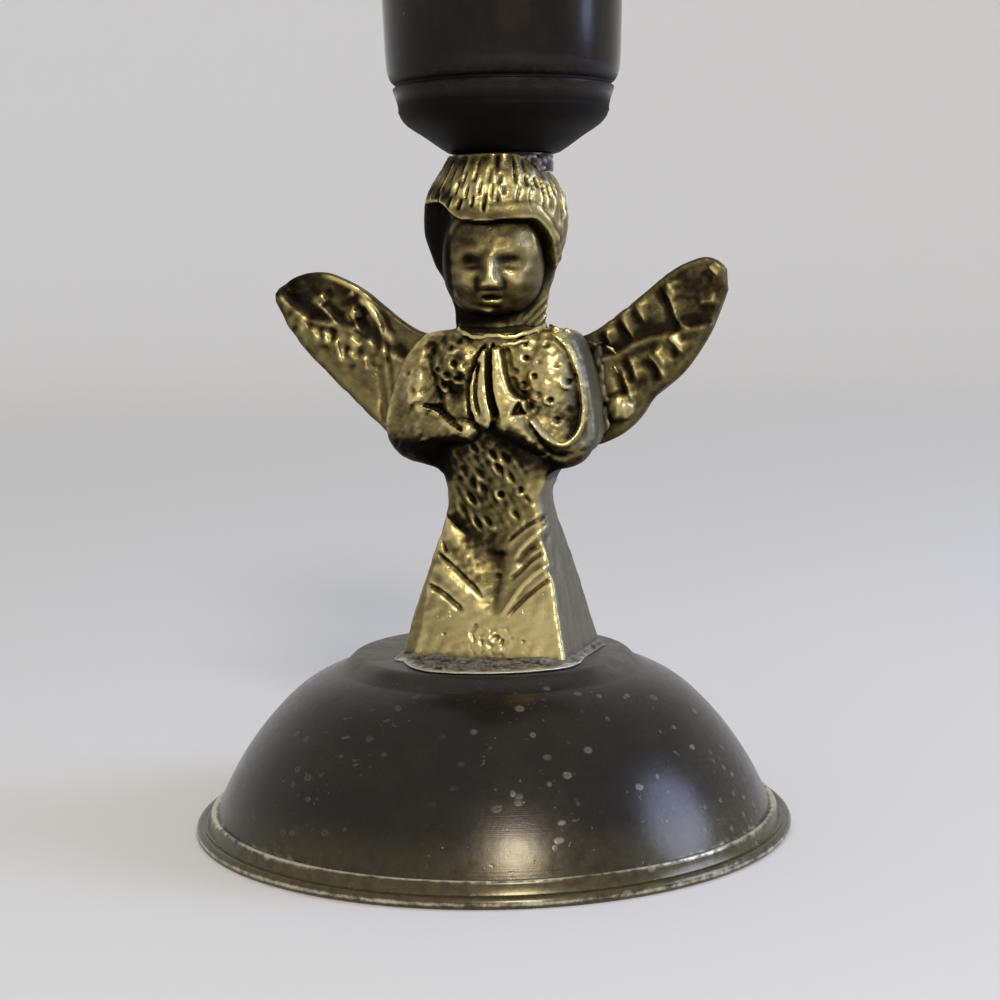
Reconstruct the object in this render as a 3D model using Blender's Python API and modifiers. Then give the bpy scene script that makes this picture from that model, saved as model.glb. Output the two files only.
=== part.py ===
"""A brass candlestick: a turned foot and a turned candle cup, joined by a cast angel at prayer.

The foot, the angel, her two wings and the cup are separate pieces. A stud and nut draw the angel
down on to the foot, a screw through the cup's floor holds the cup and its stub on her head, and
the wings are brazed on behind. Solder fills the joint at the foot and one side of the stub.
"""

import math

import bmesh
import bpy
import numpy as np
from mathutils import Matrix

MM = 0.001

# Clearance left between pieces that touch
GAP = 0.3 * MM

# Foot
DOME_RADIUS = 32.5 * MM
DOME_SLOPE = 21.4
RIDGE_WIDTH = 0.8 * MM
RIDGE_RISE = 1.2 * MM
GROOVE_WIDTH = 0.6 * MM
GROOVE_DEPTH = 0.2 * MM
LIP_WIDTH = 1.1 * MM
LIP_THICKNESS = 1.3 * MM
PLATFORM_HEIGHT = 20.5 * MM
PLATFORM_RADIUS = 17.0 * MM
PLATFORM_STEP = 1.2 * MM
PLATFORM_EDGE = 2.6 * MM
PLATFORM_DROP = 0.4 * MM
FOOT_WALL = 1.8 * MM
RIM_UNDERSIDE = 2.9 * MM
DOME_BLEND = 5.0 * MM
CROWN_THICKNESS = 3.4 * MM
CROWN_FILLET = 2.5 * MM

# Angel, in her own frame: she faces -Y and stands on the platform
FIGURE_X = 1.1 * MM
FIGURE_Y = -2.6 * MM
FIGURE_TURN = math.radians(-15.0)
GOWN_LENGTH = 20.2 * MM
TORSO_LENGTH = 17.5 * MM
HEAD_LENGTH = 19.2 * MM
HEM_WIDTH = 19.8 * MM
HEM_DEPTH = 14.0 * MM
HEM_CORNER = 1.5 * MM
WAIST_WIDTH = 11.4 * MM
WAIST_DEPTH = 7.2 * MM
CHEST_WIDTH = 14.0 * MM
CHEST_DEPTH = 8.4 * MM
BACK_DEPTH = 3.6 * MM
DRAFT = 0.05
LEAN = 0.5 * MM
FRONT_OFFSET = 0.5 * MM
SHOULDER_SPAN = 13.6 * MM
ELBOW_SPAN = 17.4 * MM
SLEEVE_RADIUS = 3.4 * MM
CUFF_RADIUS = 2.5 * MM
HAND_HEIGHT = 9.0 * MM
HAND_WIDTH = 1.7 * MM
HAND_REACH = 7.3 * MM
NECK_WIDTH = 10.6 * MM
HEAD_TURN = math.radians(11.0)
HAIR_WIDTH = 16.4 * MM
HAIR_DEPTH = 14.6 * MM
CROWN_WIDTH = 11.6 * MM
FACE_WIDTH = 11.0 * MM
FACE_REACH = 7.6 * MM
FRINGE_OVERHANG = 1.9 * MM
FRINGE_LEVEL = 11.9 * MM
FRINGE_DROP = 3.0 * MM
COLLAR_RISE = 0.5 * MM
PLEAT_DEPTH = 0.8 * MM
PLEAT_DROP = 4.4 * MM
PLEAT_REACH = 6.4 * MM

# Wings
WING_THICKNESS = 1.9 * MM
WING_RIB = 0.5 * MM
WING_SHIFT = -1.2 * MM

# Stub and cup
CUP_X = 2.4 * MM
CUP_Y = -1.2 * MM
STUB_RADIUS = 5.6 * MM
STUB_HEIGHT = 2.1 * MM
CUP_HEIGHT = 26.0 * MM
CUP_BOTTOM_RADIUS = 6.0 * MM
CUP_BOWL_RADIUS = 11.9 * MM
CUP_BOWL_HEIGHT = 4.5 * MM
CUP_BOWL_CORNER = 1.6 * MM
CUP_BOTTOM_BEVEL = 0.12 * MM
CUP_BAND_HEIGHT = 2.5 * MM
CUP_BAND_TOP_RADIUS = 12.7 * MM
CUP_GROOVE = 0.35 * MM
CUP_WALL_RADIUS = 13.3 * MM
CUP_RIM_RADIUS = 14.0 * MM
CUP_LIP_ROUND = 0.8 * MM
BORE_RADIUS = 11.0 * MM
CUP_FLOOR_THICKNESS = 4.9 * MM

# Fasteners
STUD_RADIUS = 2.0 * MM
STUD_ENGAGEMENT = 7.0 * MM
STUD_TAIL = 1.2 * MM
WASHER_RADIUS = 6.0 * MM
WASHER_THICKNESS = 1.0 * MM
WASHER_MARGIN = 0.5 * MM
NUT_ACROSS_FLATS = 7.0 * MM
NUT_HEIGHT = 3.2 * MM
SCREW_RADIUS = 2.0 * MM
SCREW_HEAD_RADIUS = 3.7 * MM
SCREW_HEAD_HEIGHT = 2.2 * MM
SCREW_ENGAGEMENT = 6.0 * MM

# Solder
SOLDER_WIDTH = 24.8 * MM
SOLDER_DEPTH = 19.4 * MM
SOLDER_X = 0.9 * MM
SOLDER_Y = -3.3 * MM
SOLDER_TURN = math.radians(-7.0)
SOLDER_HEIGHT = 0.95 * MM
SOLDER_EDGE = 0.25 * MM
SOLDER_LEAST_WIDTH = 1.0 * MM
SOLDER_FULLNESS = 3.2
SOLDER_CLEARANCE = 0.35 * MM
BLOB_RADIUS = 1.25 * MM
BLOB_ANGLE = math.radians(-54.0)

# How far a cutting tool runs past the face that it opens
OVERRUN = 5.0 * MM

# Farther out from the angel's axis than any part of her casting
FAR = 22.0 * MM

# Facets round the turned and cast pieces
FOOT_STEPS = 52
CUP_STEPS = 40
ROD_STEPS = 20
FIGURE_COLUMNS = 56
FRONT_CROWDING = 0.42
GOWN_ROW = 0.95 * MM
TORSO_ROW = 0.88 * MM
HEAD_ROW = 0.84 * MM

# Radii and heights that follow from the sizes above
RIDGE_RADIUS = DOME_RADIUS + RIDGE_WIDTH
RIDGE_HEIGHT = LIP_THICKNESS + RIDGE_RISE
FOOT_RADIUS = RIDGE_RADIUS + GROOVE_WIDTH + LIP_WIDTH
DOME_BALL_RADIUS = DOME_RADIUS / math.cos(math.radians(DOME_SLOPE))
HEM_Z = PLATFORM_HEIGHT + GAP
WAIST_Z = HEM_Z + GOWN_LENGTH
NECK_Z = WAIST_Z + TORSO_LENGTH
CROWN_Z = NECK_Z + HEAD_LENGTH
CUP_Z = CROWN_Z + GAP
STUB_Z = CROWN_Z - STUB_HEIGHT
FLOOR_Z = CUP_Z + CUP_FLOOR_THICKNESS


def clear_scene():
    for thing in list(bpy.data.objects):
        bpy.data.objects.remove(thing, do_unlink=True)


def new_collection(name, hidden=False):
    collection = bpy.data.collections.new(name)
    bpy.context.scene.collection.children.link(collection)
    collection.hide_render = hidden
    return collection


def material(name, colour, metallic, roughness):
    made = bpy.data.materials.new(name)
    made.use_nodes = True
    shader = made.node_tree.nodes["Principled BSDF"]
    shader.inputs["Base Color"].default_value = (*colour, 1.0)
    shader.inputs["Metallic"].default_value = metallic
    shader.inputs["Roughness"].default_value = roughness
    return made


def place(name, mesh, collection, finish, x=0.0, y=0.0, z=0.0, turn=0.0):
    """Puts a mesh into the scene as one named piece."""
    piece = bpy.data.objects.new(name, mesh)
    collection.objects.link(piece)
    piece.location = (x, y, z)
    piece.rotation_euler = (0.0, 0.0, turn)
    if finish:
        mesh.materials.append(finish)
        mesh.shade_smooth()
        mesh.set_sharp_from_angle(angle=math.radians(35.0))
    return piece


def mesh_from(name, form):
    mesh = bpy.data.meshes.new(name)
    form.to_mesh(mesh)
    form.free()
    return mesh


def cylinder_mesh(name, radius, low, high, sides=24):
    form = bmesh.new()
    bmesh.ops.create_cone(
        form,
        cap_ends=True,
        segments=sides,
        radius1=radius,
        radius2=radius,
        depth=high - low,
        matrix=Matrix.Translation((0.0, 0.0, (low + high) / 2)),
    )
    return mesh_from(name, form)


def cutter(name, mesh, collection, x=0.0, y=0.0):
    made = place(name, mesh, collection, None, x, y)
    made.hide_render = True
    made.display_type = "WIRE"
    return made


def cut(piece, tool):
    step = piece.modifiers.new("Cut " + tool.name, "BOOLEAN")
    step.operation = "DIFFERENCE"
    step.object = tool
    step.solver = "EXACT"


def turned(name, profile, steps, collection, finish, x=0.0, y=0.0):
    """Spins a closed profile of (radius, height) points, which runs down the outer side."""
    mesh = bpy.data.meshes.new(name)
    count = len(profile)
    points = [(radius, 0.0, height) for radius, height in profile]
    mesh.from_pydata(points, [(i, (i + 1) % count) for i in range(count)], [])
    piece = place(name, mesh, collection, finish, x, y)
    spin = piece.modifiers.new("Spin", "SCREW")
    spin.steps = steps
    spin.render_steps = steps
    spin.use_merge_vertices = True
    spin.merge_threshold = 0.000001
    spin.use_smooth_shade = True
    return piece


def arc(centre_r, centre_z, radius, start, end, count):
    """Points of (radius, height) along an arc, with its angles in degrees from the outward side."""
    angles = np.radians(np.linspace(start, end, count))
    return [(centre_r + radius * math.cos(a), centre_z + radius * math.sin(a)) for a in angles]


def smooth_min(a, b, blend):
    mix = np.clip(0.5 + 0.5 * (b - a) / blend, 0.0, 1.0)
    return b * (1 - mix) + a * mix - blend * mix * (1 - mix)


def smooth_max(a, b, blend):
    return -smooth_min(-a, -b, blend)


def dome_height(radius, ball_radius, flat, blend):
    """Height of a ball-shaped dome that springs from the foot's ridge and flattens under its top."""
    centre = RIDGE_HEIGHT - DOME_BALL_RADIUS * math.sin(math.radians(DOME_SLOPE))
    ball = centre + np.sqrt(np.maximum(ball_radius**2 - radius**2, 0.0))
    return smooth_min(ball, flat, blend)


def foot_profile():
    """The spun foot: platform, dome, ridge, groove and lip, then up the hollow inside."""
    shoulder = PLATFORM_HEIGHT - PLATFORM_DROP
    edge = PLATFORM_EDGE / 2
    outer = [(0.0, PLATFORM_HEIGHT), (PLATFORM_RADIUS - PLATFORM_EDGE, PLATFORM_HEIGHT)]
    outer += arc(PLATFORM_RADIUS - edge, PLATFORM_HEIGHT - edge, edge, 78, 20, 4)
    for radius in np.linspace(PLATFORM_RADIUS + PLATFORM_STEP, DOME_RADIUS, 9):
        outer.append((radius, float(dome_height(radius, DOME_BALL_RADIUS, shoulder, DOME_BLEND))))
    ridge = (RIDGE_RADIUS - DOME_RADIUS) / 2
    outer += arc(RIDGE_RADIUS - ridge, RIDGE_HEIGHT - ridge, ridge, 100, 0, 3)
    outer.append((RIDGE_RADIUS, LIP_THICKNESS))
    outer.append((FOOT_RADIUS - LIP_WIDTH, LIP_THICKNESS - GROOVE_DEPTH))
    half = LIP_THICKNESS / 2
    outer += arc(FOOT_RADIUS - half, half, half, 70, -90, 4)
    flat = PLATFORM_HEIGHT - CROWN_THICKNESS
    seat = WASHER_RADIUS + math.hypot(FIGURE_X, FIGURE_Y) + WASHER_MARGIN
    inner = [(FOOT_RADIUS - RIM_UNDERSIDE, 0.0)]
    for radius in np.linspace(DOME_RADIUS - FOOT_WALL, seat + CROWN_FILLET, 6):
        height = dome_height(radius, DOME_BALL_RADIUS - FOOT_WALL, flat, CROWN_FILLET)
        inner.append((radius, float(height)))
    inner += [(seat, flat), (0.0, flat)]
    return outer + inner


def make_foot(parts, cutters, finish):
    """The foot is drilled where the angel stands, a little in front of its middle."""
    foot = turned("base_dome", foot_profile(), FOOT_STEPS, parts, finish)
    hole = cylinder_mesh("stud_hole", STUD_RADIUS + GAP, 0.0, PLATFORM_HEIGHT + OVERRUN)
    cut(foot, cutter("stud_hole", hole, cutters, FIGURE_X, FIGURE_Y))
    return foot


def cup_profile():
    """The turned cup: rim, flaring wall, groove, cove band and bowl, then the bore and its floor."""
    top = CUP_Z + CUP_HEIGHT
    band_low = CUP_Z + CUP_BOWL_HEIGHT
    wall_low = band_low + CUP_BAND_HEIGHT + CUP_GROOVE
    lip = CUP_LIP_ROUND
    edge = CUP_WALL_RADIUS - CUP_BAND_TOP_RADIUS
    profile = arc(CUP_RIM_RADIUS - lip, top - lip, lip, 90, 0, 5)
    profile += arc(CUP_WALL_RADIUS - edge, wall_low + edge, edge, 0, -80, 4)
    profile.append((CUP_BAND_TOP_RADIUS - CUP_GROOVE, wall_low))
    profile.append((CUP_BAND_TOP_RADIUS - CUP_GROOVE, wall_low - CUP_GROOVE))
    profile.append((CUP_BAND_TOP_RADIUS, wall_low - CUP_GROOVE * 1.5))
    cove = CUP_BAND_TOP_RADIUS - CUP_BOWL_RADIUS
    band_top = wall_low - CUP_GROOVE * 1.5
    for share in (0.35, 0.7, 1.0):
        radius = CUP_BAND_TOP_RADIUS - cove * math.sin(share * math.pi / 2)
        profile.append((radius, band_top - (CUP_BAND_HEIGHT - CUP_GROOVE) * share))
    corner = CUP_BOWL_CORNER
    profile += arc(CUP_BOWL_RADIUS - corner, band_low, corner, -15, -60, 4)
    profile.append((CUP_BOTTOM_RADIUS, CUP_Z + 2 * CUP_BOTTOM_BEVEL))
    profile.append((CUP_BOTTOM_RADIUS - 3 * CUP_BOTTOM_BEVEL, CUP_Z))
    hole = SCREW_RADIUS + GAP
    sink = SCREW_HEAD_RADIUS + GAP
    sink_z = FLOOR_Z - SCREW_HEAD_HEIGHT - GAP
    profile += [(hole, CUP_Z), (hole, sink_z), (sink, sink_z), (sink, FLOOR_Z)]
    profile += [(BORE_RADIUS, FLOOR_Z), (BORE_RADIUS, top - lip), (BORE_RADIUS + lip / 2, top)]
    return profile


def make_cup(parts, finish):
    return turned("candle_cup", cup_profile(), CUP_STEPS, parts, finish, CUP_X, CUP_Y)


def make_stub(parts, finish):
    hole = SCREW_RADIUS + GAP
    top = CUP_Z - GAP
    bevel = 0.3 * MM
    profile = [(hole, top), (STUB_RADIUS - bevel, top), (STUB_RADIUS, top - bevel)]
    profile += [(STUB_RADIUS, STUB_Z + GAP), (hole, STUB_Z + GAP)]
    return turned("cup_stub", profile, CUP_STEPS, parts, finish, CUP_X, CUP_Y)


def make_cup_screw(parts, finish):
    """A cheese-head screw that stands in its sink, level with the cup's floor."""
    low = STUB_Z - SCREW_ENGAGEMENT
    under = FLOOR_Z - SCREW_HEAD_HEIGHT
    bevel = 0.4 * MM
    profile = [(0.0, FLOOR_Z), (SCREW_HEAD_RADIUS - bevel, FLOOR_Z), (SCREW_HEAD_RADIUS, FLOOR_Z - bevel)]
    profile += [(SCREW_HEAD_RADIUS, under), (SCREW_RADIUS, under)]
    profile += [(SCREW_RADIUS, low + bevel), (SCREW_RADIUS - bevel, low), (0.0, low)]
    return turned("cup_screw", profile, ROD_STEPS, parts, finish, CUP_X, CUP_Y)


def capsule(p, start, end, start_radius, end_radius):
    """Distance to a limb that tapers from one ball to another."""
    start, end = np.array(start), np.array(end)
    along = end - start
    share = np.clip((p - start) @ along / (along @ along), 0.0, 1.0)
    nearest = start + share[..., None] * along
    return np.linalg.norm(p - nearest, axis=-1) - (start_radius + (end_radius - start_radius) * share)


def ellipsoid(p, centre, radii):
    scaled = np.linalg.norm((p - np.array(centre)) / np.array(radii), axis=-1)
    return (scaled - 1.0) * min(radii)


def rounded_block(x, y, width, depth, corner):
    """Distance to a rectangle with round corners, in the plane of a section."""
    qx, qy = np.abs(x) - width / 2 + corner, np.abs(y) - depth / 2 + corner
    outside = np.hypot(np.maximum(qx, 0.0), np.maximum(qy, 0.0))
    return outside + np.minimum(np.maximum(qx, qy), 0.0) - corner


def ease(low, high, value):
    share = np.clip((value - low) / (high - low), 0.0, 1.0)
    return share * share * (3 - 2 * share)


def gown_section(z):
    """Width, depth and corner of the gown and trunk at a height."""
    down = np.clip((WAIST_Z - z) / GOWN_LENGTH, 0.0, 1.0)
    flare = smooth_max((down - 0.16) / 0.84, 0.0, 0.12)
    up = np.clip((z - WAIST_Z) / TORSO_LENGTH, 0.0, 1.0)
    swell = np.sin(np.minimum(up / 0.8, 1.0) * math.pi / 2)
    slope = ease(0.72, 1.0, up)
    width = WAIST_WIDTH + (HEM_WIDTH - WAIST_WIDTH) * flare + (CHEST_WIDTH - WAIST_WIDTH) * swell
    depth = WAIST_DEPTH + (HEM_DEPTH - WAIST_DEPTH) * flare + (CHEST_DEPTH - WAIST_DEPTH) * swell
    width = width + (NECK_WIDTH - CHEST_WIDTH) * slope
    depth = depth + (0.7 * NECK_WIDTH - CHEST_DEPTH) * slope
    corner = HEM_CORNER + (0.3 * WAIST_DEPTH - HEM_CORNER) * ease(0.0, 0.7, 1.0 - down)
    return width, depth, corner


def drafted(y):
    """How much wider the casting is towards her back, so that it leaves the mould."""
    return 1.0 + DRAFT * y / (HEM_DEPTH / 2)


def gown_form(p):
    """The gown: a rounded block that flares to the hem, with the trunk above the waist."""
    width, depth, corner = gown_section(p[..., 2])
    return rounded_block(p[..., 0] / drafted(p[..., 1]), p[..., 1], width, depth, corner)


def arm_form(p):
    """Both arms, mirrored: sleeve to the elbow, then forearm to a full cuff at the chest."""
    q = np.stack([np.abs(p[..., 0]), p[..., 1], p[..., 2]], axis=-1)
    shoulder = (SHOULDER_SPAN / 2, 0.0, WAIST_Z + 0.755 * TORSO_LENGTH)
    elbow = (ELBOW_SPAN / 2, -0.1 * SLEEVE_RADIUS, WAIST_Z + 0.29 * TORSO_LENGTH)
    wrist_z = WAIST_Z + 0.42 * TORSO_LENGTH
    cuff = (HAND_WIDTH + 0.8 * CUFF_RADIUS, -HAND_REACH + 0.9 * CUFF_RADIUS, wrist_z)
    upper = capsule(q, shoulder, elbow, SLEEVE_RADIUS, SLEEVE_RADIUS)
    fore = capsule(q, elbow, cuff, SLEEVE_RADIUS, CUFF_RADIUS)
    return smooth_min(upper, fore, 1.2 * MM)


def hand_form(p):
    """The hands laid palm to palm: one wedge that narrows to the fingertips."""
    x, y = p[..., 0] - FRONT_OFFSET, p[..., 1]
    low = WAIST_Z + 0.32 * TORSO_LENGTH
    up = (p[..., 2] - low) / HAND_HEIGHT
    width = 2 * HAND_WIDTH * (1.0 - 0.5 * ease(0.3, 1.05, up))
    reach = HAND_REACH + 0.5 * HAND_WIDTH * (1.0 - 0.9 * ease(0.75, 1.1, up))
    wedge = rounded_block(x, y, width, 2 * reach, 0.45 * width)
    ends = np.maximum(low - p[..., 2], p[..., 2] - low - HAND_HEIGHT)
    return smooth_max(wedge, ends, 0.5 * MM)


def fringe_sag(x, y):
    """How far the hair's edge hangs below its front, from nothing in front to its full drop at the ears."""
    return FRINGE_DROP * ease(0.5, 1.35, np.arctan2(np.abs(x), -y))


def head_frame(x, y):
    """The same place in the frame of the head, which is turned a little on the body."""
    cos, sin = math.cos(HEAD_TURN), math.sin(HEAD_TURN)
    return x * cos + y * sin, y * cos - x * sin


def head_form(p):
    """Bowl-cut hair that overhangs a round child's face, on a neck that widens to the collar."""
    x, y = head_frame(p[..., 0], p[..., 1])
    up = (p[..., 2] - NECK_Z) / HEAD_LENGTH
    lower = ease(0.05, 0.60, up)
    upper = ease(0.60, 1.04, up) ** 1.3
    neck_depth = 0.8 * NECK_WIDTH
    width = NECK_WIDTH + (HAIR_WIDTH - NECK_WIDTH) * lower - (HAIR_WIDTH - CROWN_WIDTH) * upper
    depth = neck_depth + (HAIR_DEPTH - neck_depth) * lower - (HAIR_DEPTH - CROWN_WIDTH) * upper
    hair = (np.hypot(x / width * 2, y / depth * 2) - 1.0) * depth / 2
    below = NECK_Z + FRINGE_LEVEL - fringe_sag(x, y) - p[..., 2]
    in_front = ease(0.0, 0.45, -y / HAIR_DEPTH * 2)
    hair = hair + FRINGE_OVERHANG * in_front * ease(-0.4 * MM, 0.4 * MM, below)
    centre = (0.0, 0.53 * FACE_WIDTH - FACE_REACH, NECK_Z + 0.395 * HEAD_LENGTH)
    face_place = np.stack([x, y, p[..., 2]], axis=-1)
    face = ellipsoid(face_place, centre, (FACE_WIDTH / 2, 0.53 * FACE_WIDTH, 0.31 * HEAD_LENGTH))
    return smooth_min(hair, face, 0.4 * MM)


def face_relief(p):
    """How far a calm, plain child's face is pressed in, or raised where negative."""
    x, y = head_frame(p[..., 0], p[..., 1])
    side = np.abs(x) / (FACE_WIDTH / 2)
    up = (p[..., 2] - NECK_Z) / HEAD_LENGTH
    eyes = 0.7 * np.exp(-(((side - 0.40) / 0.20) ** 2) - ((up - 0.46) / 0.04) ** 2)
    nose = -1.1 * np.exp(-((side / 0.17) ** 2)) * ease(0.50, 0.34, up) * ease(0.30, 0.325, up)
    mouth = 0.6 * np.exp(-((side / 0.26) ** 2) - ((up - 0.265) / 0.018) ** 2)
    lips = -0.35 * np.exp(-((side / 0.2) ** 2) - ((up - 0.225) / 0.02) ** 2)
    cheeks = -0.3 * np.exp(-(((side - 0.55) / 0.22) ** 2) - ((up - 0.33) / 0.06) ** 2)
    on_face = ease(0.2, 0.5, -y / FACE_REACH) * ease(1.0, 0.8, side)
    return (eyes + nose + mouth + lips + cheeks) * on_face * MM


def dress_relief(p):
    """The raised collar and the groove between the palms."""
    collar = np.exp(-(((p[..., 2] - NECK_Z - 0.3 * MM) / (0.8 * MM)) ** 2))
    hand = (p[..., 2] - WAIST_Z - 0.32 * TORSO_LENGTH) / HAND_HEIGHT
    off_palms = (p[..., 0] - LEAN - FRONT_OFFSET) / (0.22 * HAND_WIDTH)
    palms = np.exp(-(off_palms**2)) * ease(0.0, 0.1, hand) * ease(1.05, 0.9, hand)
    ahead = ease(0.6, 0.8, -p[..., 1] / HAND_REACH)
    return 0.45 * MM * palms * ahead - COLLAR_RISE * collar


def pleat_sag(x, y):
    """How far a pleat hangs in the middle of the gown's front below its ends at the sides."""
    off_middle = np.abs(x - LEAN - FRONT_OFFSET) / PLEAT_REACH
    return PLEAT_DROP * np.clip(1.0 - off_middle, 0.0, 1.0) * ease(0.3, 0.9, -y / (WAIST_DEPTH / 2))


def pleat_relief(share, p):
    """V-shaped pleats down the gown's front: each step is a fold's edge; a deep fold parts the sides."""
    x, y = p[..., 0] - LEAN - FRONT_OFFSET, p[..., 1]
    side = np.abs(x) / PLEAT_REACH
    folds = np.zeros_like(x)
    for edge in (0.82, 0.60, 0.40):
        folds += ease(edge + 0.01, edge - 0.035, share) * ease(edge - 0.17, edge - 0.035, share)
    middle = np.exp(-((side / 0.16) ** 2)) * ease(0.2, 0.35, share) * ease(0.9, 0.7, share)
    between = ease(0.08, 0.3, side) * ease(1.25, 1.0, side)
    return PLEAT_DEPTH * (folds * between + middle) * ease(0.3, 0.7, -y / (WAIST_DEPTH / 2))


def figure_form(p):
    """Distance to the whole angel, with her back planed flat where the wings sit."""
    p = p.copy()
    leaning = ease(HEM_Z, WAIST_Z, p[..., 2]) * ease(NECK_Z + 0.3 * HEAD_LENGTH, NECK_Z, p[..., 2])
    p[..., 0] -= LEAN * leaning
    body = smooth_min(gown_form(p), arm_form(p), 0.7 * MM)
    body = smooth_min(body, hand_form(p), 0.3 * MM)
    above_waist = ease(-0.04, 0.12, (p[..., 2] - WAIST_Z) / TORSO_LENGTH)
    planed = np.maximum(body, (p[..., 1] - BACK_DEPTH) * above_waist)
    up = (p[..., 2] - NECK_Z) / HEAD_LENGTH
    trunk = planed + FAR * ease(0.0, 0.25, up)
    head = head_form(p) + FAR * ease(0.0, -0.2, up)
    return smooth_min(trunk, head, 0.6 * MM)


def surface_radius(cos, sin, z):
    """Finds, for each ray out from the angel's upright axis, how far out her surface lies."""
    radius = np.full(z.shape, FAR)
    for _ in range(90):
        p = np.stack([radius * cos, radius * sin, z], axis=-1)
        radius = radius - 0.6 * figure_form(p)
    return radius


def figure_rows():
    """Heights of the sections, closer together over the face and hands."""
    gown = np.linspace(HEM_Z, WAIST_Z, max(4, round(GOWN_LENGTH / GOWN_ROW)))
    torso = np.linspace(WAIST_Z, NECK_Z, max(4, round(TORSO_LENGTH / TORSO_ROW)))
    head = np.linspace(NECK_Z, CROWN_Z, max(4, round(HEAD_LENGTH / HEAD_ROW)))
    return np.concatenate([gown, torso[1:], head[1:]])


def figure_mesh():
    """A loft through the angel's forms, whose rows follow the hair's edge and the gown's pleats."""
    rows = figure_rows()
    turns = np.linspace(0.0, 2 * math.pi, FIGURE_COLUMNS, endpoint=False)
    angles = turns - FRONT_CROWDING * np.sin(turns) - math.pi / 2
    z, angle = np.meshgrid(rows, angles, indexing="ij")
    cos, sin = np.cos(angle), np.sin(angle)
    up = (z - NECK_Z) / HEAD_LENGTH
    fringe = FRINGE_LEVEL / HEAD_LENGTH
    share = (z - HEM_Z) / GOWN_LENGTH
    radius = surface_radius(cos, sin, z)
    z = z - fringe_sag(*head_frame(cos, sin)) * ease(0.1, fringe, up) * ease(1.0, fringe, up)
    z = z - pleat_sag(radius * cos, radius * sin) * ease(0.0, 0.5, share) * ease(1.0, 0.5, share)
    radius = surface_radius(cos, sin, z)
    p = np.stack([radius * cos, radius * sin, z], axis=-1)
    pressed = face_relief(p) + pleat_relief(share, p) + dress_relief(p)
    p[..., 1] += pressed * np.maximum(-sin, 0.0)
    form = bmesh.new()
    grid = [[form.verts.new(point) for point in row] for row in p]
    for low, high in zip(grid, grid[1:]):
        for i in range(FIGURE_COLUMNS):
            j = (i + 1) % FIGURE_COLUMNS
            form.faces.new((low[i], low[j], high[j], high[i]))
    form.faces.new(list(reversed(grid[0])))
    form.faces.new(grid[-1])
    return mesh_from("angel_figure", form)


def blob_place():
    """Centre of the solder blob on the stub's side, in the world."""
    reach = STUB_RADIUS + 0.35 * BLOB_RADIUS
    x = CUP_X + reach * math.cos(BLOB_ANGLE)
    y = CUP_Y + reach * math.sin(BLOB_ANGLE)
    return x, y, CUP_Z - GAP - BLOB_RADIUS


def blob_mesh(name, radius):
    form = bmesh.new()
    bmesh.ops.create_uvsphere(form, u_segments=16, v_segments=10, radius=radius)
    bmesh.ops.transform(form, matrix=Matrix.Translation(blob_place()), verts=form.verts)
    return mesh_from(name, form)


def make_figure(parts, cutters, finish):
    """The casting, drilled from below for the stud, and from above for the stub and its screw."""
    figure = place("angel_figure", figure_mesh(), parts, finish, FIGURE_X, FIGURE_Y, 0.0, FIGURE_TURN)
    hole = STUD_RADIUS + GAP
    stud = cylinder_mesh("stud_bore", hole, HEM_Z - OVERRUN, HEM_Z + STUD_ENGAGEMENT + GAP)
    cut(figure, cutter("stud_bore", stud, cutters, FIGURE_X, FIGURE_Y))
    seat = cylinder_mesh("stub_seat", STUB_RADIUS + GAP, STUB_Z, CROWN_Z + OVERRUN, CUP_STEPS)
    cut(figure, cutter("stub_seat", seat, cutters, CUP_X, CUP_Y))
    screw_low = STUB_Z - SCREW_ENGAGEMENT - GAP
    screw = cylinder_mesh("screw_bore", SCREW_RADIUS + GAP, screw_low, CROWN_Z + OVERRUN)
    cut(figure, cutter("screw_bore", screw, cutters, CUP_X, CUP_Y))
    notch = cutter("blob_notch", blob_mesh("blob_notch", BLOB_RADIUS + GAP), cutters)
    cut(figure, notch)
    return figure


def make_cup_solder(parts, cutters, finish):
    """A blob of solder run into the corner between the stub and the hair."""
    blob = place("cup_solder", blob_mesh("cup_solder", BLOB_RADIUS), parts, finish)
    radius = STUB_RADIUS + GAP
    stub = cylinder_mesh("stub_room", radius, STUB_Z - OVERRUN, CUP_Z + OVERRUN, CUP_STEPS)
    cut(blob, cutter("stub_room", stub, cutters, CUP_X, CUP_Y))
    return blob


def hem_ring(z):
    """Points round the gown at a height, a clearance away from it, in her own frame."""
    width, depth, corner = gown_section(z)
    rounded = []
    for quarter, (side_x, side_y) in enumerate(((1, 1), (-1, 1), (-1, -1), (1, -1))):
        x, y = side_x * (width / 2 - corner), side_y * (depth / 2 - corner)
        rounded += arc(x, y, corner + SOLDER_CLEARANCE, 90 * quarter, 90 * quarter + 90, 5)
    ring = []
    for i, (point, following) in enumerate(zip(rounded, rounded[1:] + rounded[:1])):
        shares = np.linspace(0.0, 1.0, 5, endpoint=False) if i % 5 == 4 else [0.0]
        ring += [np.array(point) * (1 - share) + np.array(following) * share for share in shares]
    ring = np.array(ring)
    ring[:, 0] *= drafted(ring[:, 1])
    return ring


def in_world(points, x, y, turn):
    cos, sin = math.cos(turn), math.sin(turn)
    return points @ np.array([[cos, sin], [-sin, cos]]) + np.array([x, y])


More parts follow.
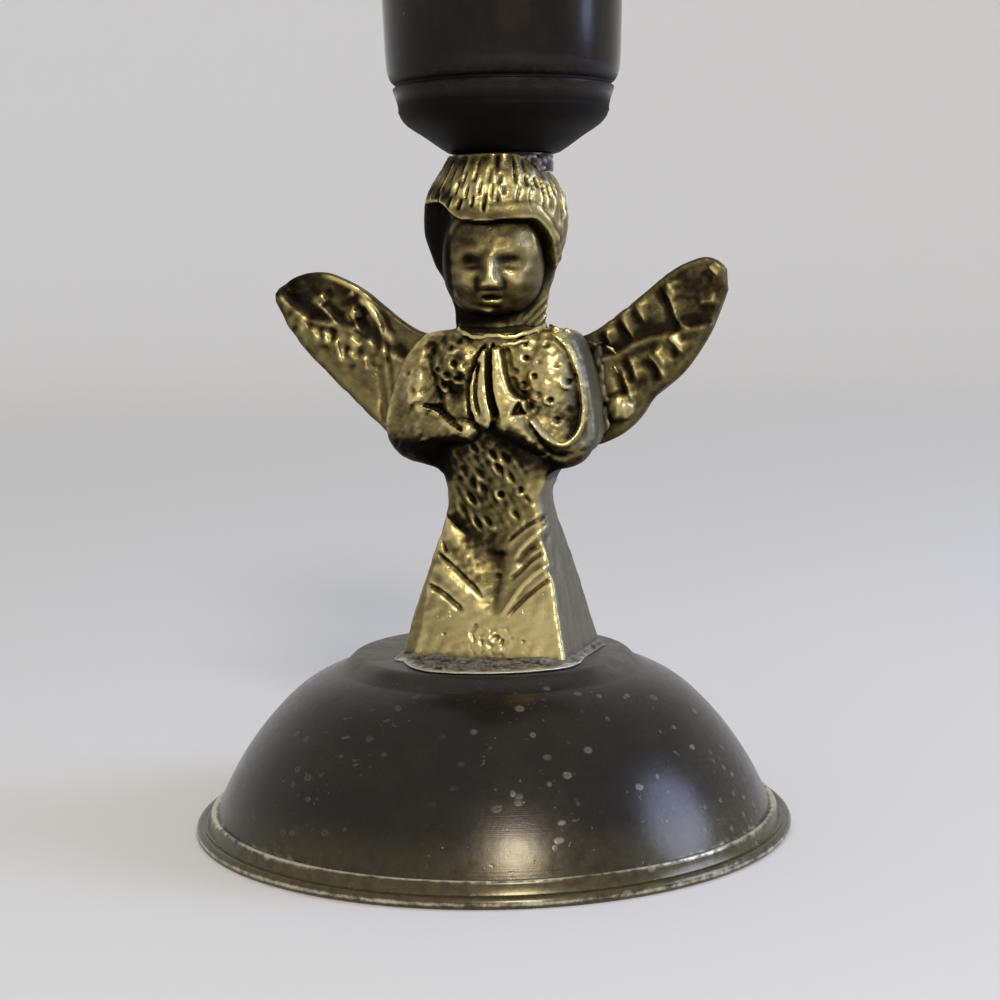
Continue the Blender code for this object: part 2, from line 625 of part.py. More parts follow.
def solder_outline(hem):
    """The solder's outer edge: an oval with full corners that stays clear of the gown's hem."""
    offset = hem - np.array([SOLDER_X, SOLDER_Y])
    angle = np.arctan2(offset[:, 1], offset[:, 0]) - SOLDER_TURN
    across = np.abs(np.cos(angle) / (SOLDER_WIDTH / 2)) ** SOLDER_FULLNESS
    deep = np.abs(np.sin(angle) / (SOLDER_DEPTH / 2)) ** SOLDER_FULLNESS
    reach = (across + deep) ** (-1 / SOLDER_FULLNESS)
    reach = np.maximum(reach, np.hypot(offset[:, 0], offset[:, 1]) + SOLDER_LEAST_WIDTH)
    oval = np.stack([reach * np.cos(angle), reach * np.sin(angle)], axis=-1)
    return in_world(oval, SOLDER_X, SOLDER_Y, SOLDER_TURN)


def make_foot_solder(parts, finish):
    """A low ring of solder, wide in front, from the platform up against the gown's hem."""
    low, high = HEM_Z, HEM_Z + SOLDER_HEIGHT
    inner_low = in_world(hem_ring(low), FIGURE_X, FIGURE_Y, FIGURE_TURN)
    inner_high = in_world(hem_ring(high), FIGURE_X, FIGURE_Y, FIGURE_TURN)
    outer = solder_outline(inner_low)
    between = 0.5 * (inner_high + outer)
    rings = [(inner_low, low), (outer, low), (outer, low + SOLDER_EDGE)]
    rings += [(between, low + SOLDER_HEIGHT / 2), (inner_high, high)]
    form = bmesh.new()
    grid = [[form.verts.new((x, y, z)) for x, y in ring] for ring, z in rings]
    for first, second in zip(grid, grid[1:] + grid[:1]):
        for i in range(len(first)):
            j = (i + 1) % len(first)
            form.faces.new((first[i], first[j], second[j], second[i]))
    return place("foot_solder", mesh_from("foot_solder", form), parts, finish)


# Wing outlines in millimetres: each point is out from the angel's middle and up from her waist
LEFT_UPPER = ((3.6, 16.2), (9.2, 16.7), (13.1, 19.3), (17.1, 22.3), (21.5, 23.9), (25, 23.3), (27.2, 22))
LEFT_LOWER = ((3.6, 4.0), (12.0, 3.6), (15.8, 6.9), (19.0, 10.0), (22.6, 13.6), (25.6, 17.3), (27.3, 20.6))
RIGHT_UPPER = ((3.6, 16.2), (11, 16.3), (15.5, 19.2), (19.5, 22.4), (22.8, 24.4), (25.4, 24.8), (27, 23.6))
RIGHT_LOWER = ((3.6, 4.0), (13.0, 3.8), (16.2, 5.7), (18.9, 9.2), (22.0, 11.7), (25.0, 16.0), (27.2, 21.2))


def spline(points, share):
    """Points along a smooth curve through the given ones, at shares of its length from 0 to 1."""
    knots = np.array(points)
    steps = np.concatenate([[0.0], np.cumsum(np.linalg.norm(np.diff(knots, axis=0), axis=1))])
    steps /= steps[-1]
    slopes = np.gradient(knots, steps, axis=0)
    at = np.clip(np.searchsorted(steps, share, side="right") - 1, 0, len(knots) - 2)
    span = (steps[at + 1] - steps[at])[:, None]
    t = ((share - steps[at])[:, None]) / span
    return (
        (2 * t**3 - 3 * t**2 + 1) * knots[at]
        + (t**3 - 2 * t**2 + t) * span * slopes[at]
        + (3 * t**2 - 2 * t**3) * knots[at + 1]
        + (t**3 - t**2) * span * slopes[at + 1]
    )


def wing_depths(share_u, share_v):
    """Front and rear of the wing behind her back, at shares from root to tip and from foot to top."""
    crown = np.sin(math.pi * share_v) ** 0.5
    off_vein = np.abs(share_v - 0.45)
    vein = np.exp(-((off_vein / 0.09) ** 2))
    ribs = np.sin(2 * math.pi * (4.5 * share_u - 1.4 * off_vein)) * ease(0.12, 0.3, share_u)
    thick = WING_THICKNESS * (0.45 + 0.55 * crown) * (1 - 0.25 * share_u)
    thick = thick + WING_RIB * crown * (vein + 0.5 * ribs)
    middle = 0.75 * WING_THICKNESS
    front = np.maximum(middle - thick / 2, 0.0) * ease(0.1, 0.3, share_u)
    back = BACK_DEPTH + GAP
    return back + front, back + middle + thick / 2


def make_wing(name, upper, lower, side, parts, finish):
    """A leaf, flat where it seats on her back, with a raised vein and slanting feather ribs."""
    along, across = 17, 9
    shares = np.linspace(0.0, 1.0, along)
    share_u, share_v = np.meshgrid(shares, np.linspace(0.0, 1.0, across), indexing="ij")
    low, high = spline(lower, shares) * MM, spline(upper, shares) * MM
    outline = low[:, None] + (high - low)[:, None] * share_v[..., None]
    x = side * outline[..., 0] + WING_SHIFT
    z = outline[..., 1] + WAIST_Z
    form = bmesh.new()
    faces = []
    for depth in wing_depths(share_u, share_v):
        points = np.stack([x, depth, z], axis=-1)
        faces.append([[form.verts.new(point) for point in row] for row in points])
    front, rear = faces
    for i in range(along - 1):
        for j in range(across - 1):
            form.faces.new((front[i][j], front[i + 1][j], front[i + 1][j + 1], front[i][j + 1]))
            form.faces.new((rear[i][j], rear[i][j + 1], rear[i + 1][j + 1], rear[i + 1][j]))
    rim = [(i, 0) for i in range(along)] + [(along - 1, j) for j in range(1, across)]
    rim += [(i, across - 1) for i in range(along - 2, -1, -1)]
    rim += [(0, j) for j in range(across - 2, 0, -1)]
    for (a, b), (c, d) in zip(rim, rim[1:] + rim[:1]):
        form.faces.new((front[a][b], rear[a][b], rear[c][d], front[c][d]))
    bmesh.ops.recalc_face_normals(form, faces=form.faces)
    return place(name, mesh_from(name, form), parts, finish, FIGURE_X, FIGURE_Y, 0.0, FIGURE_TURN)


def make_stud(parts, finish):
    low = PLATFORM_HEIGHT - CROWN_THICKNESS - 2 * GAP - WASHER_THICKNESS - NUT_HEIGHT - STUD_TAIL
    high = HEM_Z + STUD_ENGAGEMENT
    bevel = 0.4 * MM
    profile = [(0.0, high), (STUD_RADIUS - bevel, high), (STUD_RADIUS, high - bevel)]
    profile += [(STUD_RADIUS, low + bevel), (STUD_RADIUS - bevel, low), (0.0, low)]
    return turned("foot_stud", profile, ROD_STEPS, parts, finish, FIGURE_X, FIGURE_Y)


def make_washer(parts, finish):
    high = PLATFORM_HEIGHT - CROWN_THICKNESS - GAP
    hole = STUD_RADIUS + GAP
    profile = [(hole, high), (WASHER_RADIUS, high)]
    profile += [(WASHER_RADIUS, high - WASHER_THICKNESS), (hole, high - WASHER_THICKNESS)]
    return turned("foot_washer", profile, ROD_STEPS + 4, parts, finish, FIGURE_X, FIGURE_Y)


def make_nut(parts, cutters, finish):
    high = PLATFORM_HEIGHT - CROWN_THICKNESS - 2 * GAP - WASHER_THICKNESS
    low = high - NUT_HEIGHT
    corner = NUT_ACROSS_FLATS / math.sqrt(3)
    blank = cylinder_mesh("foot_nut", corner, low, high, 6)
    nut = place("foot_nut", blank, parts, finish, FIGURE_X, FIGURE_Y)
    bore = cylinder_mesh("nut_bore", STUD_RADIUS + GAP, low - OVERRUN, high + OVERRUN)
    cut(nut, cutter("nut_bore", bore, cutters, FIGURE_X, FIGURE_Y))
    return nut


def main():
    clear_scene()
    parts = new_collection("candlestick")
    cutters = new_collection("cutters", hidden=True)
    blackened = material("blackened_brass", (0.030, 0.026, 0.020), 0.9, 0.32)
    cup_black = material("cup_black", (0.018, 0.016, 0.013), 0.9, 0.25)
    brass = material("antique_brass", (0.36, 0.27, 0.11), 1.0, 0.38)
    wing_brass = material("dark_brass", (0.22, 0.16, 0.06), 1.0, 0.40)
    solder = material("solder_grey", (0.30, 0.30, 0.28), 0.8, 0.55)
    steel = material("steel", (0.45, 0.44, 0.42), 1.0, 0.40)
    make_foot(parts, cutters, blackened)
    make_foot_solder(parts, solder)
    make_figure(parts, cutters, brass)
    make_wing("left_wing", LEFT_UPPER, LEFT_LOWER, -1, parts, wing_brass)
    make_wing("right_wing", RIGHT_UPPER, RIGHT_LOWER, 1, parts, wing_brass)
    make_stub(parts, cup_black)
    make_cup_solder(parts, cutters, solder)
    make_cup(parts, cup_black)
    make_cup_screw(parts, steel)
    make_stud(parts, steel)
    make_washer(parts, steel)
    make_nut(parts, cutters, steel)


if __name__ == "__main__":
    main()
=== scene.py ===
"""Finishes the brass candlestick: its foot, cast angel, wings, cup, solder and fasteners.

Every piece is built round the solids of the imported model, in metres and in the same frame. Inside
the forms of the angel and her wings the unit is the millimetre, and heights count from her waist.
"""

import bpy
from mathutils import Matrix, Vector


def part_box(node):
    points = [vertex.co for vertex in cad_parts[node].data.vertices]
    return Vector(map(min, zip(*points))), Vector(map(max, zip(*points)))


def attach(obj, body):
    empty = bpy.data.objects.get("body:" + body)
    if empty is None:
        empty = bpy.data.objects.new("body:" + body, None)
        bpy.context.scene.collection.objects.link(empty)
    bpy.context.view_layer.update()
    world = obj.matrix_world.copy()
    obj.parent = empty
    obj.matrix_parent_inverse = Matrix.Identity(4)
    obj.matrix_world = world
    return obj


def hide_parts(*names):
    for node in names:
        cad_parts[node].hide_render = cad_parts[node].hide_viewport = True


bl_info = {
    "name": "Angel Candlestick",
    "version": (1, 0, 0),
    "blender": (4, 5, 0),
    "location": "View3D > Sidebar > Candlestick",
    "description": "Builds and finishes a brass candlestick with a cast angel at prayer",
    "category": "Add Mesh",
}

import math

import bpy
import numpy as np
from bpy.props import FloatProperty, FloatVectorProperty, IntProperty, PointerProperty
from mathutils import Matrix

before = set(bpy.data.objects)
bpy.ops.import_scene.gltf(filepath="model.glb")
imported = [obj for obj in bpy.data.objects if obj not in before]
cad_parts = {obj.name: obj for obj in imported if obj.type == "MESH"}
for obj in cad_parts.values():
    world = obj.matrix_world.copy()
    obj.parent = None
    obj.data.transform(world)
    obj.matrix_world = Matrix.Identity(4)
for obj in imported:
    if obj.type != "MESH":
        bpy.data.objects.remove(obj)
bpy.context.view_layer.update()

MM = 0.001

# The angel's own frame in the world, and the heights of her waist, hem, neck and crown
ANGEL_X = 1.1 * MM
ANGEL_Y = -2.6 * MM
ANGEL_TURN = math.radians(-15.0)
ANGEL_COS, ANGEL_SIN = math.cos(ANGEL_TURN), math.sin(ANGEL_TURN)
WAIST_Z = 41.0 * MM
HEM = -20.2
NECK = 17.5
CROWN = 36.7
BACK = 3.6


def box_of(node):
    """Middle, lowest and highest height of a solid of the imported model."""
    low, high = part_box(node)
    return (low[0] + high[0]) / 2, (low[1] + high[1]) / 2, low[2], high[2]


CUP_X, CUP_Y, CUP_LOW, CUP_TOP = box_of("candle_cup")
STUB_X, STUB_Y, STUB_LOW, _ = box_of("cup_stub")
FOOT_TOP = box_of("base_dome")[3]


# Settings


def length(name, description, default):
    return FloatProperty(name=name, description=description, default=default, min=0.0, unit="LENGTH")


def colour(name, description, default):
    return FloatVectorProperty(
        name=name, description=description, default=default, subtype="COLOR", size=3, min=0.0, max=1.0
    )


FOLD = 0.55 * MM
FEATHER = 0.75 * MM


class CandlestickAngel(bpy.types.PropertyGroup):
    grid: length("Grid", "Distance between the sampled points of the casting", 0.18 * MM)
    fold: length("Fold depth", "How far a pleat steps down past its edge", FOLD)
    punch: length("Punch depth", "Depth of the punched dots on sleeves and bodice", 0.42 * MM)
    hair_cut: length("Hair cut depth", "Depth of the chisel cuts in the hair", 0.42 * MM)


class CandlestickWings(bpy.types.PropertyGroup):
    grid: length("Grid", "Distance between the sampled points of a wing", 0.2 * MM)
    thickness: length("Thickness", "Thickness of a wing between its ribs", 1.5 * MM)
    feather: length("Feather height", "Height of the slanting feather ridges", FEATHER)


class CandlestickTurned(bpy.types.PropertyGroup):
    foot_steps: IntProperty(name="Foot steps", description="Facets round the foot", default=256, min=24)
    cup_steps: IntProperty(name="Cup steps", description="Facets round the cup", default=192, min=24)


class CandlestickSolder(bpy.types.PropertyGroup):
    grid: length("Grid", "Distance between the sampled points of the solder", 0.16 * MM)
    bead: length("Bead radius", "Radius of the larger grains of solder", 0.62 * MM)
    grains: IntProperty(name="Grains", description="Grains of solder round the hem", default=190, min=0)


class CandlestickFinish(bpy.types.PropertyGroup):
    # Brass, which is also made brighter for painted highlights
    brass: colour("Brass", "Polished brass on raised places", (0.50, 0.41, 0.18))
    olive: colour("Old brass", "Brass under a thin tarnish", (0.21, 0.17, 0.068))
    # Tarnish in hollows, and also the colour of painted shade
    tarnish: colour("Tarnish", "Dark tarnish in hollows", (0.022, 0.017, 0.009))
    filed: colour("Filed brass", "Dull grey sides that were filed after casting", (0.205, 0.195, 0.145))
    black: colour("Blackening", "Brown-black finish of the foot", (0.021, 0.018, 0.0145))
    cup: colour("Cup black", "Black finish of the cup", (0.0095, 0.0075, 0.006))
    solder: colour("Solder", "Dull grey solder", (0.25, 0.245, 0.225))
    steel: colour("Steel", "Plain steel of the fasteners", (0.42, 0.41, 0.39))


class CandlestickStage(bpy.types.PropertyGroup):
    floor: colour("Floor", "Colour of floor and backdrop", (0.74, 0.73, 0.71))
    daylight: FloatProperty(name="Daylight", description="Plain light from all round", default=0.52, min=0.0)
    key: FloatProperty(name="Key", description="Power of the large lamp", default=3.4, min=0.0, unit="POWER")
    fill: FloatProperty(
        name="Fill", description="Power of the lamp to the right", default=3.2, min=0.0, unit="POWER"
    )


# Numbers on arrays

# A distance beyond every form, where a union of forms starts, and one that hides a form past its end
FAR = 40.0
HIDDEN = 22.0


def ease(low, high, value):
    """0 at low and 1 at high, smooth between them; low may be the greater."""
    share = np.clip((value - low) / (high - low), 0.0, 1.0)
    return share * share * (3 - 2 * share)


def blend_min(a, b, soft):
    mix = np.clip(0.5 + 0.5 * (b - a) / soft, 0.0, 1.0)
    return b + (a - b) * mix - soft * mix * (1 - mix)


def blend_max(a, b, soft):
    return -blend_min(-a, -b, soft)


def bump_at(value, middle, width):
    return np.exp(-(((value - middle) / width) ** 2))


def rounded(x, y, corner):
    """Distance to a round corner, from the distances past the middle of its round."""
    return np.hypot(np.maximum(x, 0.0), np.maximum(y, 0.0)) + np.minimum(np.maximum(x, y), 0.0) - corner


def block(x, y, width, depth, corner):
    """Distance to a rectangle with round corners."""
    return rounded(np.abs(x) - width / 2 + corner, np.abs(y) - depth / 2 + corner, corner)


def limb(x, y, z, start, end, start_radius, end_radius):
    """Distance to a limb that tapers from one ball to another."""
    along = np.subtract(end, start)
    parts = (x - start[0], y - start[1], z - start[2])
    share = sum(part * step for part, step in zip(parts, along)) / float(along @ along)
    share = np.clip(share, 0.0, 1.0)
    away = sum((part - share * step) ** 2 for part, step in zip(parts, along))
    return np.sqrt(away) - (start_radius + (end_radius - start_radius) * share)


def egg(x, y, z, middle, radii):
    parts = [(value - centre) / radius for value, centre, radius in zip((x, y, z), middle, radii)]
    return (np.sqrt(sum(part**2 for part in parts)) - 1.0) * min(radii)


def curve_through(points, count):
    """Evenly shared points along a smooth curve through the given ones."""
    knots = np.array(points, float)
    steps = np.concatenate([[0.0], np.cumsum(np.linalg.norm(np.diff(knots, axis=0), axis=1))])
    steps /= steps[-1]
    slopes = np.gradient(knots, steps, axis=0)
    share = np.linspace(0.0, 1.0, count)
    at = np.clip(np.searchsorted(steps, share, side="right") - 1, 0, len(knots) - 2)
    span = (steps[at + 1] - steps[at])[:, None]
    t = (share - steps[at])[:, None] / span
    start = (2 * t**3 - 3 * t**2 + 1) * knots[at] + (t**3 - 2 * t**2 + t) * span * slopes[at]
    return start + (3 * t**2 - 2 * t**3) * knots[at + 1] + (t**3 - t**2) * span * slopes[at + 1]


def to_line(points, x, z):
    """Distance to a drawn line, which side is nearest (above a line drawn to the right), and share."""
    points = np.asarray(points, float)
    lengths = np.linalg.norm(np.diff(points, axis=0), axis=1)
    starts = np.concatenate([[0.0], np.cumsum(lengths)])
    best, side, share = 1e9, 0.0, 0.0
    for i, ((ax, az), (bx, bz)) in enumerate(zip(points, points[1:])):
        ex, ez = bx - ax, bz - az
        t = np.clip(((x - ax) * ex + (z - az) * ez) / (ex * ex + ez * ez), 0.0, 1.0)
        away = np.hypot(x - ax - t * ex, z - az - t * ez)
        closer = away < best
        side = np.where(closer, ex * (z - az) - ez * (x - ax), side)
        share = np.where(closer, (starts[i] + t * lengths[i]) / starts[-1], share)
        best = np.where(closer, away, best)
    return best, side, share


def to_outline(points, x, z):
    """Distance to a closed outline, negative inside."""
    points = np.asarray(points, float)
    best, inside = 1e9, False
    for (ax, az), (bx, bz) in zip(points, np.roll(points, -1, axis=0)):
        ex, ez = bx - ax, bz - az
        t = np.clip(((x - ax) * ex + (z - az) * ez) / (ex * ex + ez * ez), 0.0, 1.0)
        best = np.minimum(best, np.hypot(x - ax - t * ex, z - az - t * ez))
        if ez:
            inside = inside ^ (((az > z) != (bz > z)) & (x < ax + (z - az) * ex / ez))
    return np.where(inside, -best, best)


def to_curve(points, x, z, count):
    """Distance to the smooth line through a few points, which side is nearest, and share along it."""
    return to_line(curve_through(points, count), x, z)


def to_shape(points, x, z, count):
    """Distance to the smooth closed outline through a few points, negative inside."""
    return to_outline(curve_through(points + points[:1], count)[:-1], x, z)


def dabs(table, x, h):
    """Soft spots: each has its amount, then middle and half width across, then the same upwards."""
    return sum(size * bump_at(x, *row[:2]) * bump_at(h, *row[2:]) for size, *row in table)


def slab(flat, across, half, corner):
    """An outline with a thickness and round edges."""
    return rounded(flat + corner, np.abs(across) - half + corner, corner)


# Meshes


# Rows of grid points that are worked out together
SLAB_ROWS = 24


def sample(form, low, high, step):
    """Distances of a form at the points of a grid that holds it, slab by slab."""
    axes = [np.arange(a, b + step, step, dtype=np.float32) for a, b in zip(low, high)]
    x, y = axes[0][:, None, None], axes[1][None, :, None]
    slabs = np.array_split(axes[2], max(1, len(axes[2]) // SLAB_ROWS))
    return np.concatenate([form(x, y, rows[None, None, :]) for rows in slabs], axis=2)


def net(field, low, step):
    """Points and quads of a closed surface laid where a field of distances crosses nought."""
    inside = field < 0
    cells = tuple(n - 1 for n in field.shape)
    corners = [(i, j, k) for i in (0, 1) for j in (0, 1) for k in (0, 1)]
    count = np.zeros(cells, np.int8)
    for corner in corners:
        count += inside[tuple(slice(c, c + n) for c, n in zip(corner, cells))]
    crossed = (count > 0) & (count < 8)
    at = np.argwhere(crossed)
    index = np.full(cells, -1, np.int64)
    index[crossed] = np.arange(len(at))
    values = {corner: field[tuple((at + corner).T)] for corner in corners}
    total, hits = np.zeros((len(at), 3)), np.zeros((len(at), 1))
    for axis in range(3):
        for corner in (c for c in corners if not c[axis]):
            far = tuple(1 if i == axis else c for i, c in enumerate(corner))
            a, b = values[corner], values[far]
            cut = (a < 0) != (b < 0)
            spot = np.tile(np.array(corner, float), (len(at), 1))
            spot[:, axis] = a / np.where(cut, a - b, 1.0)
            total += spot * cut[:, None]
            hits += cut[:, None]
    spot = total / hits
    for _ in range(2):
        shares = np.stack([1.0 - spot, spot])
        value, slope = 0.0, np.zeros_like(spot)
        for (i, j, k), corner_value in values.items():
            u, v, w = shares[i, :, 0], shares[j, :, 1], shares[k, :, 2]
            value = value + corner_value * u * v * w
            rise = [(2 * i - 1) * v * w, (2 * j - 1) * u * w, (2 * k - 1) * u * v]
            slope += corner_value[:, None] * np.stack(rise, axis=1)
        spot -= np.clip((value / np.maximum((slope**2).sum(axis=1), 1e-9))[:, None] * slope, -0.3, 0.3)
        spot = np.clip(spot, 0.0, 1.0)
    quads = []
    for axis in range(3):
        u, v = (axis + 1) % 3, (axis + 2) % 3
        near, far = [slice(None)] * 3, [slice(None)] * 3
        near[axis], far[axis] = slice(0, -1), slice(1, None)
        edges = np.argwhere(inside[tuple(near)] != inside[tuple(far)])
        ring = []
        for du, dv in ((-1, -1), (0, -1), (0, 0), (-1, 0)):
            cell = edges.copy()
            cell[:, u] += du
            cell[:, v] += dv
            ring.append(index[tuple(cell.T)])
        quad = np.stack(ring, axis=1)
        flip = ~inside[tuple(edges.T)]
        quad[flip] = quad[flip][:, ::-1]
        quads.append(quad)
    return np.array(low) + (at + spot) * step, np.concatenate(quads)


def mesh_of(name, points, faces, sharp=None):
    mesh = bpy.data.meshes.new(name)
    mesh.from_pydata(points, [], faces)
    mesh.update()
    mesh.shade_smooth()
    if sharp:
        mesh.set_sharp_from_angle(angle=math.radians(sharp))
    return mesh


def normals_of(mesh):
    flat = np.empty(len(mesh.vertices) * 3, np.float32)
    mesh.vertex_normals.foreach_get("vector", flat)
    return flat.reshape(-1, 3)


def hollow(points, quads, normals, passes):
    """How deep each point lies in a hollow: positive in grooves, negative on ridges."""
    ends = np.concatenate([quads[:, [i, (i + 1) % 4]] for i in range(4)])
    start, end = np.concatenate([ends, ends[:, ::-1]]).T
    degree = np.bincount(start, minlength=len(points))
    eased = points.copy()
    for _ in range(passes):
        mean = [np.bincount(start, weights=eased[end, i], minlength=len(points)) for i in range(3)]
        eased = 0.5 * eased + 0.5 * np.stack(mean, axis=1) / degree[:, None]
    return ((eased - points) * normals).sum(axis=1)


def paint(mesh, name, values):
    layer = mesh.attributes.new(name, "FLOAT", "POINT")
    layer.data.foreach_set("value", np.clip(values, -4.0, 4.0).astype(np.float32))


def in_world(points):
    """Takes points of the angel's frame, in millimetres from her waist, into the world."""
    x, y, z = points.T * MM
    across, along = ANGEL_COS * x - ANGEL_SIN * y, ANGEL_SIN * x + ANGEL_COS * y
    return np.stack([ANGEL_X + across, ANGEL_Y + along, WAIST_Z + z], axis=1)


def own_normals(mesh):
    """The normals of a mesh, turned into the angel's frame."""
    return normals_of(mesh) @ np.array([[ANGEL_COS, -ANGEL_SIN, 0], [ANGEL_SIN, ANGEL_COS, 0], [0, 0, 1]])


def places_of(mesh):
    """The points of a mesh, in millimetres."""
    flat = np.empty(len(mesh.vertices) * 3, np.float32)
    mesh.vertices.foreach_get("co", flat)
    return flat.reshape(-1, 3).T / MM


def paint_hollows(mesh, points, quads, normals, fine, wide, share=1.0, more=0.0):
    """Paints fine and wide hollows, each found with a number of passes and a strength."""
    paint(mesh, "fine_hollow", hollow(points, quads, normals, fine[0]) * fine[1] * share)
    paint(mesh, "wide_hollow", hollow(points, quads, normals, wide[0]) * wide[1] * share + more)


def around(steps, radius, x, y, z):
    """A ring of points, whose radius is one number or one for each point."""
    angles = np.linspace(0.0, 2 * math.pi, steps, endpoint=False)
    reach = np.broadcast_to(radius, steps)
    return [(x + r * math.cos(a), y + r * math.sin(a), z) for r, a in zip(reach, angles)]


def turned_mesh(name, profile, steps, x=0.0, y=0.0, sharp=38):
    """Spins an open profile of (radius, height) points, which starts and ends on the axis or closes."""
    points, rows = [], []
    for radius, height in profile:
        start = len(points)
        if np.max(radius) < 1e-9:
            points.append((x, y, height))
            rows.append([start] * steps)
        else:
            points += around(steps, radius, x, y, height)
            rows.append(list(range(start, start + steps)))
    closed = rows[0][0] != rows[0][-1]
    faces = []
    for low, high in zip(rows, rows[1:] + rows[:1] if closed else rows[1:]):
        for i in range(steps):
            j = (i + 1) % steps
            faces.append(list(dict.fromkeys([low[i], high[i], high[j], low[j]])))
    return mesh_of(name, points, [face for face in faces if len(face) > 2], sharp)


def broken(points, radius, count=4):
    """A profile with its corners broken to a small round."""
    points = [np.array(point, float) for point in points]
    result = [points[0]]
    for before, corner, after in zip(points, points[1:], points[2:]):
        back, on = before - corner, after - corner
        reach = min(radius, 0.45 * np.linalg.norm(back), 0.45 * np.linalg.norm(on))
        start = corner + back / np.linalg.norm(back) * reach
        end = corner + on / np.linalg.norm(on) * reach
        for t in np.linspace(0.0, 1.0, count):
            result.append((1 - t) ** 2 * start + 2 * t * (1 - t) * corner + t**2 * end)
    return result + [points[-1]]


def settings_of(group):
    return getattr(bpy.context.scene, "candlestick_" + group)


def new_object(name, data):
    made = bpy.data.objects.new(name, data)
    bpy.context.scene.collection.objects.link(made)
    return made


def add_piece(name, mesh, finish, slot, *nodes):
    """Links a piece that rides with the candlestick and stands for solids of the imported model."""
    piece = new_object(name, mesh)
    mesh.materials.append(finish)
    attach(piece, "root")
    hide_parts(*nodes)
    return piece


# Shader maths


class Wire:
    """A socket that Python's operators work on: each one adds its Math node."""

    def __init__(self, shader, socket):
        self.shader, self.socket = shader, socket

    def maths(self, operation, *values):
        return self.shader.node("ShaderNodeMath", {"operation": operation}, dict(enumerate(values)))

    def __add__(self, other):
        return self.maths("ADD", self, other)

    def __sub__(self, other):
        return self.maths("SUBTRACT", self, other)

    def __rsub__(self, other):
        return self.maths("SUBTRACT", other, self)

    def __mul__(self, other):
        return self.maths("MULTIPLY", self, other)

    __radd__, __rmul__ = __add__, __mul__

    def clamped(self):
        return self.shader.node("ShaderNodeClamp", {}, {"Value": self})

    def rise(self, low, high):
        """0 up to low and 1 from high on, smooth between them; it falls where low is the greater."""
        inputs = {"Value": self, "From Min": low, "From Max": high}
        return self.shader.node("ShaderNodeMapRange", {"interpolation_type": "SMOOTHSTEP"}, inputs)

    def at(self, middle, width):
        """1 at a value and 0 farther from it than a width."""
        return self.maths("ABSOLUTE", self - middle).rise(width, 0.0)


def shade(tone, *factors):
    """A colour times one factor, or times one for each channel."""
    return tuple(channel * factor for channel, factor in zip(tone, factors * (3 // len(factors))))


class Shader:
    """The nodes of one finish, placed by the object's own coordinates."""

    def __init__(self, name):
        self.material = bpy.data.materials.new(name)
        self.material.use_nodes = True
        self.tree = self.material.node_tree
        self.tree.nodes.clear()
        self.place = self.node("ShaderNodeTexCoord", output="Object")
        self.split = self.node("ShaderNodeSeparateXYZ", {}, {0: self.place}, "X").socket.node

    def node(self, kind, settings=None, inputs=None, output=0):
        made = self.tree.nodes.new(kind)
        for name, value in (settings or {}).items():
            setattr(made, name, value)
        for name, value in (inputs or {}).items():
            if isinstance(value, Wire):
                self.tree.links.new(value.socket, made.inputs[name])
            else:
                made.inputs[name].default_value = value
        return Wire(self, made.outputs[output])

    def axis(self, name):
        return Wire(self, self.split.outputs[name])

    def length(self, vector):
        return self.node("ShaderNodeVectorMath", {"operation": "LENGTH"}, {0: vector}, "Value")

    def painted(self, name):
        return self.node("ShaderNodeAttribute", {"attribute_name": name}, {}, "Fac")

    def noise(self, size, detail=3.0, roughness=0.55, place=None):
        """Cloudy noise from 0 to 1, with patches about a size across in metres."""
        inputs = {"Vector": place or self.place, "Scale": 1 / size, "Detail": detail, "Roughness": roughness}
        return self.node("ShaderNodeTexNoise", {"normalize": True}, inputs, "Fac")

    def lines(self, place):
        """Noise along one line, for turning marks."""
        return self.node("ShaderNodeTexNoise", {"noise_dimensions": "1D"}, {"W": place, "Detail": 3.0}, "Fac")

    def cells(self, size, place=None):
        """Distance to the nearest of many scattered points, 1 about a size away."""
        inputs = {"Vector": place or self.place, "Scale": 1 / size, "Randomness": 1.0}
        return self.node("ShaderNodeTexVoronoi", {"feature": "F1"}, inputs, "Distance")

    def stretched(self, x, y, z, turn=(0.0, 0.0, 0.0)):
        """The place, turned and then squeezed along its axes, for marks drawn out one way."""
        inputs = {0: self.place, "Rotation": turn}
        turned = self.node("ShaderNodeVectorRotate", {"rotation_type": "EULER_XYZ"}, inputs)
        return self.node("ShaderNodeVectorMath", {"operation": "MULTIPLY"}, {0: turned, 1: (x, y, z)})

    def mix(self, share, first, second):
        """A colour between two, each a wire or three numbers."""
        first, second = (c if isinstance(c, Wire) else (*c, 1.0) for c in (first, second))
        return self.node("ShaderNodeMix", {"data_type": "RGBA"}, {0: share, 6: first, 7: second}, 2)

    def bump(self, height, depth):
        """A normal for heights from 0 to 1 that are a depth apart in metres."""
        return self.node("ShaderNodeBump", {}, {"Height": height, "Distance": depth, "Strength": 1.0})

    def finish(self, **sockets):
        names = (name.replace("_", " ").title().replace("Ior", "IOR") for name in sockets)
        inputs = dict(zip(names, sockets.values()))
        shown = self.node("ShaderNodeBsdfPrincipled", {}, inputs)
        end = self.tree.nodes.new("ShaderNodeOutputMaterial")
        self.tree.links.new(shown.socket, end.inputs["Surface"])
        return self.material


# Finishes


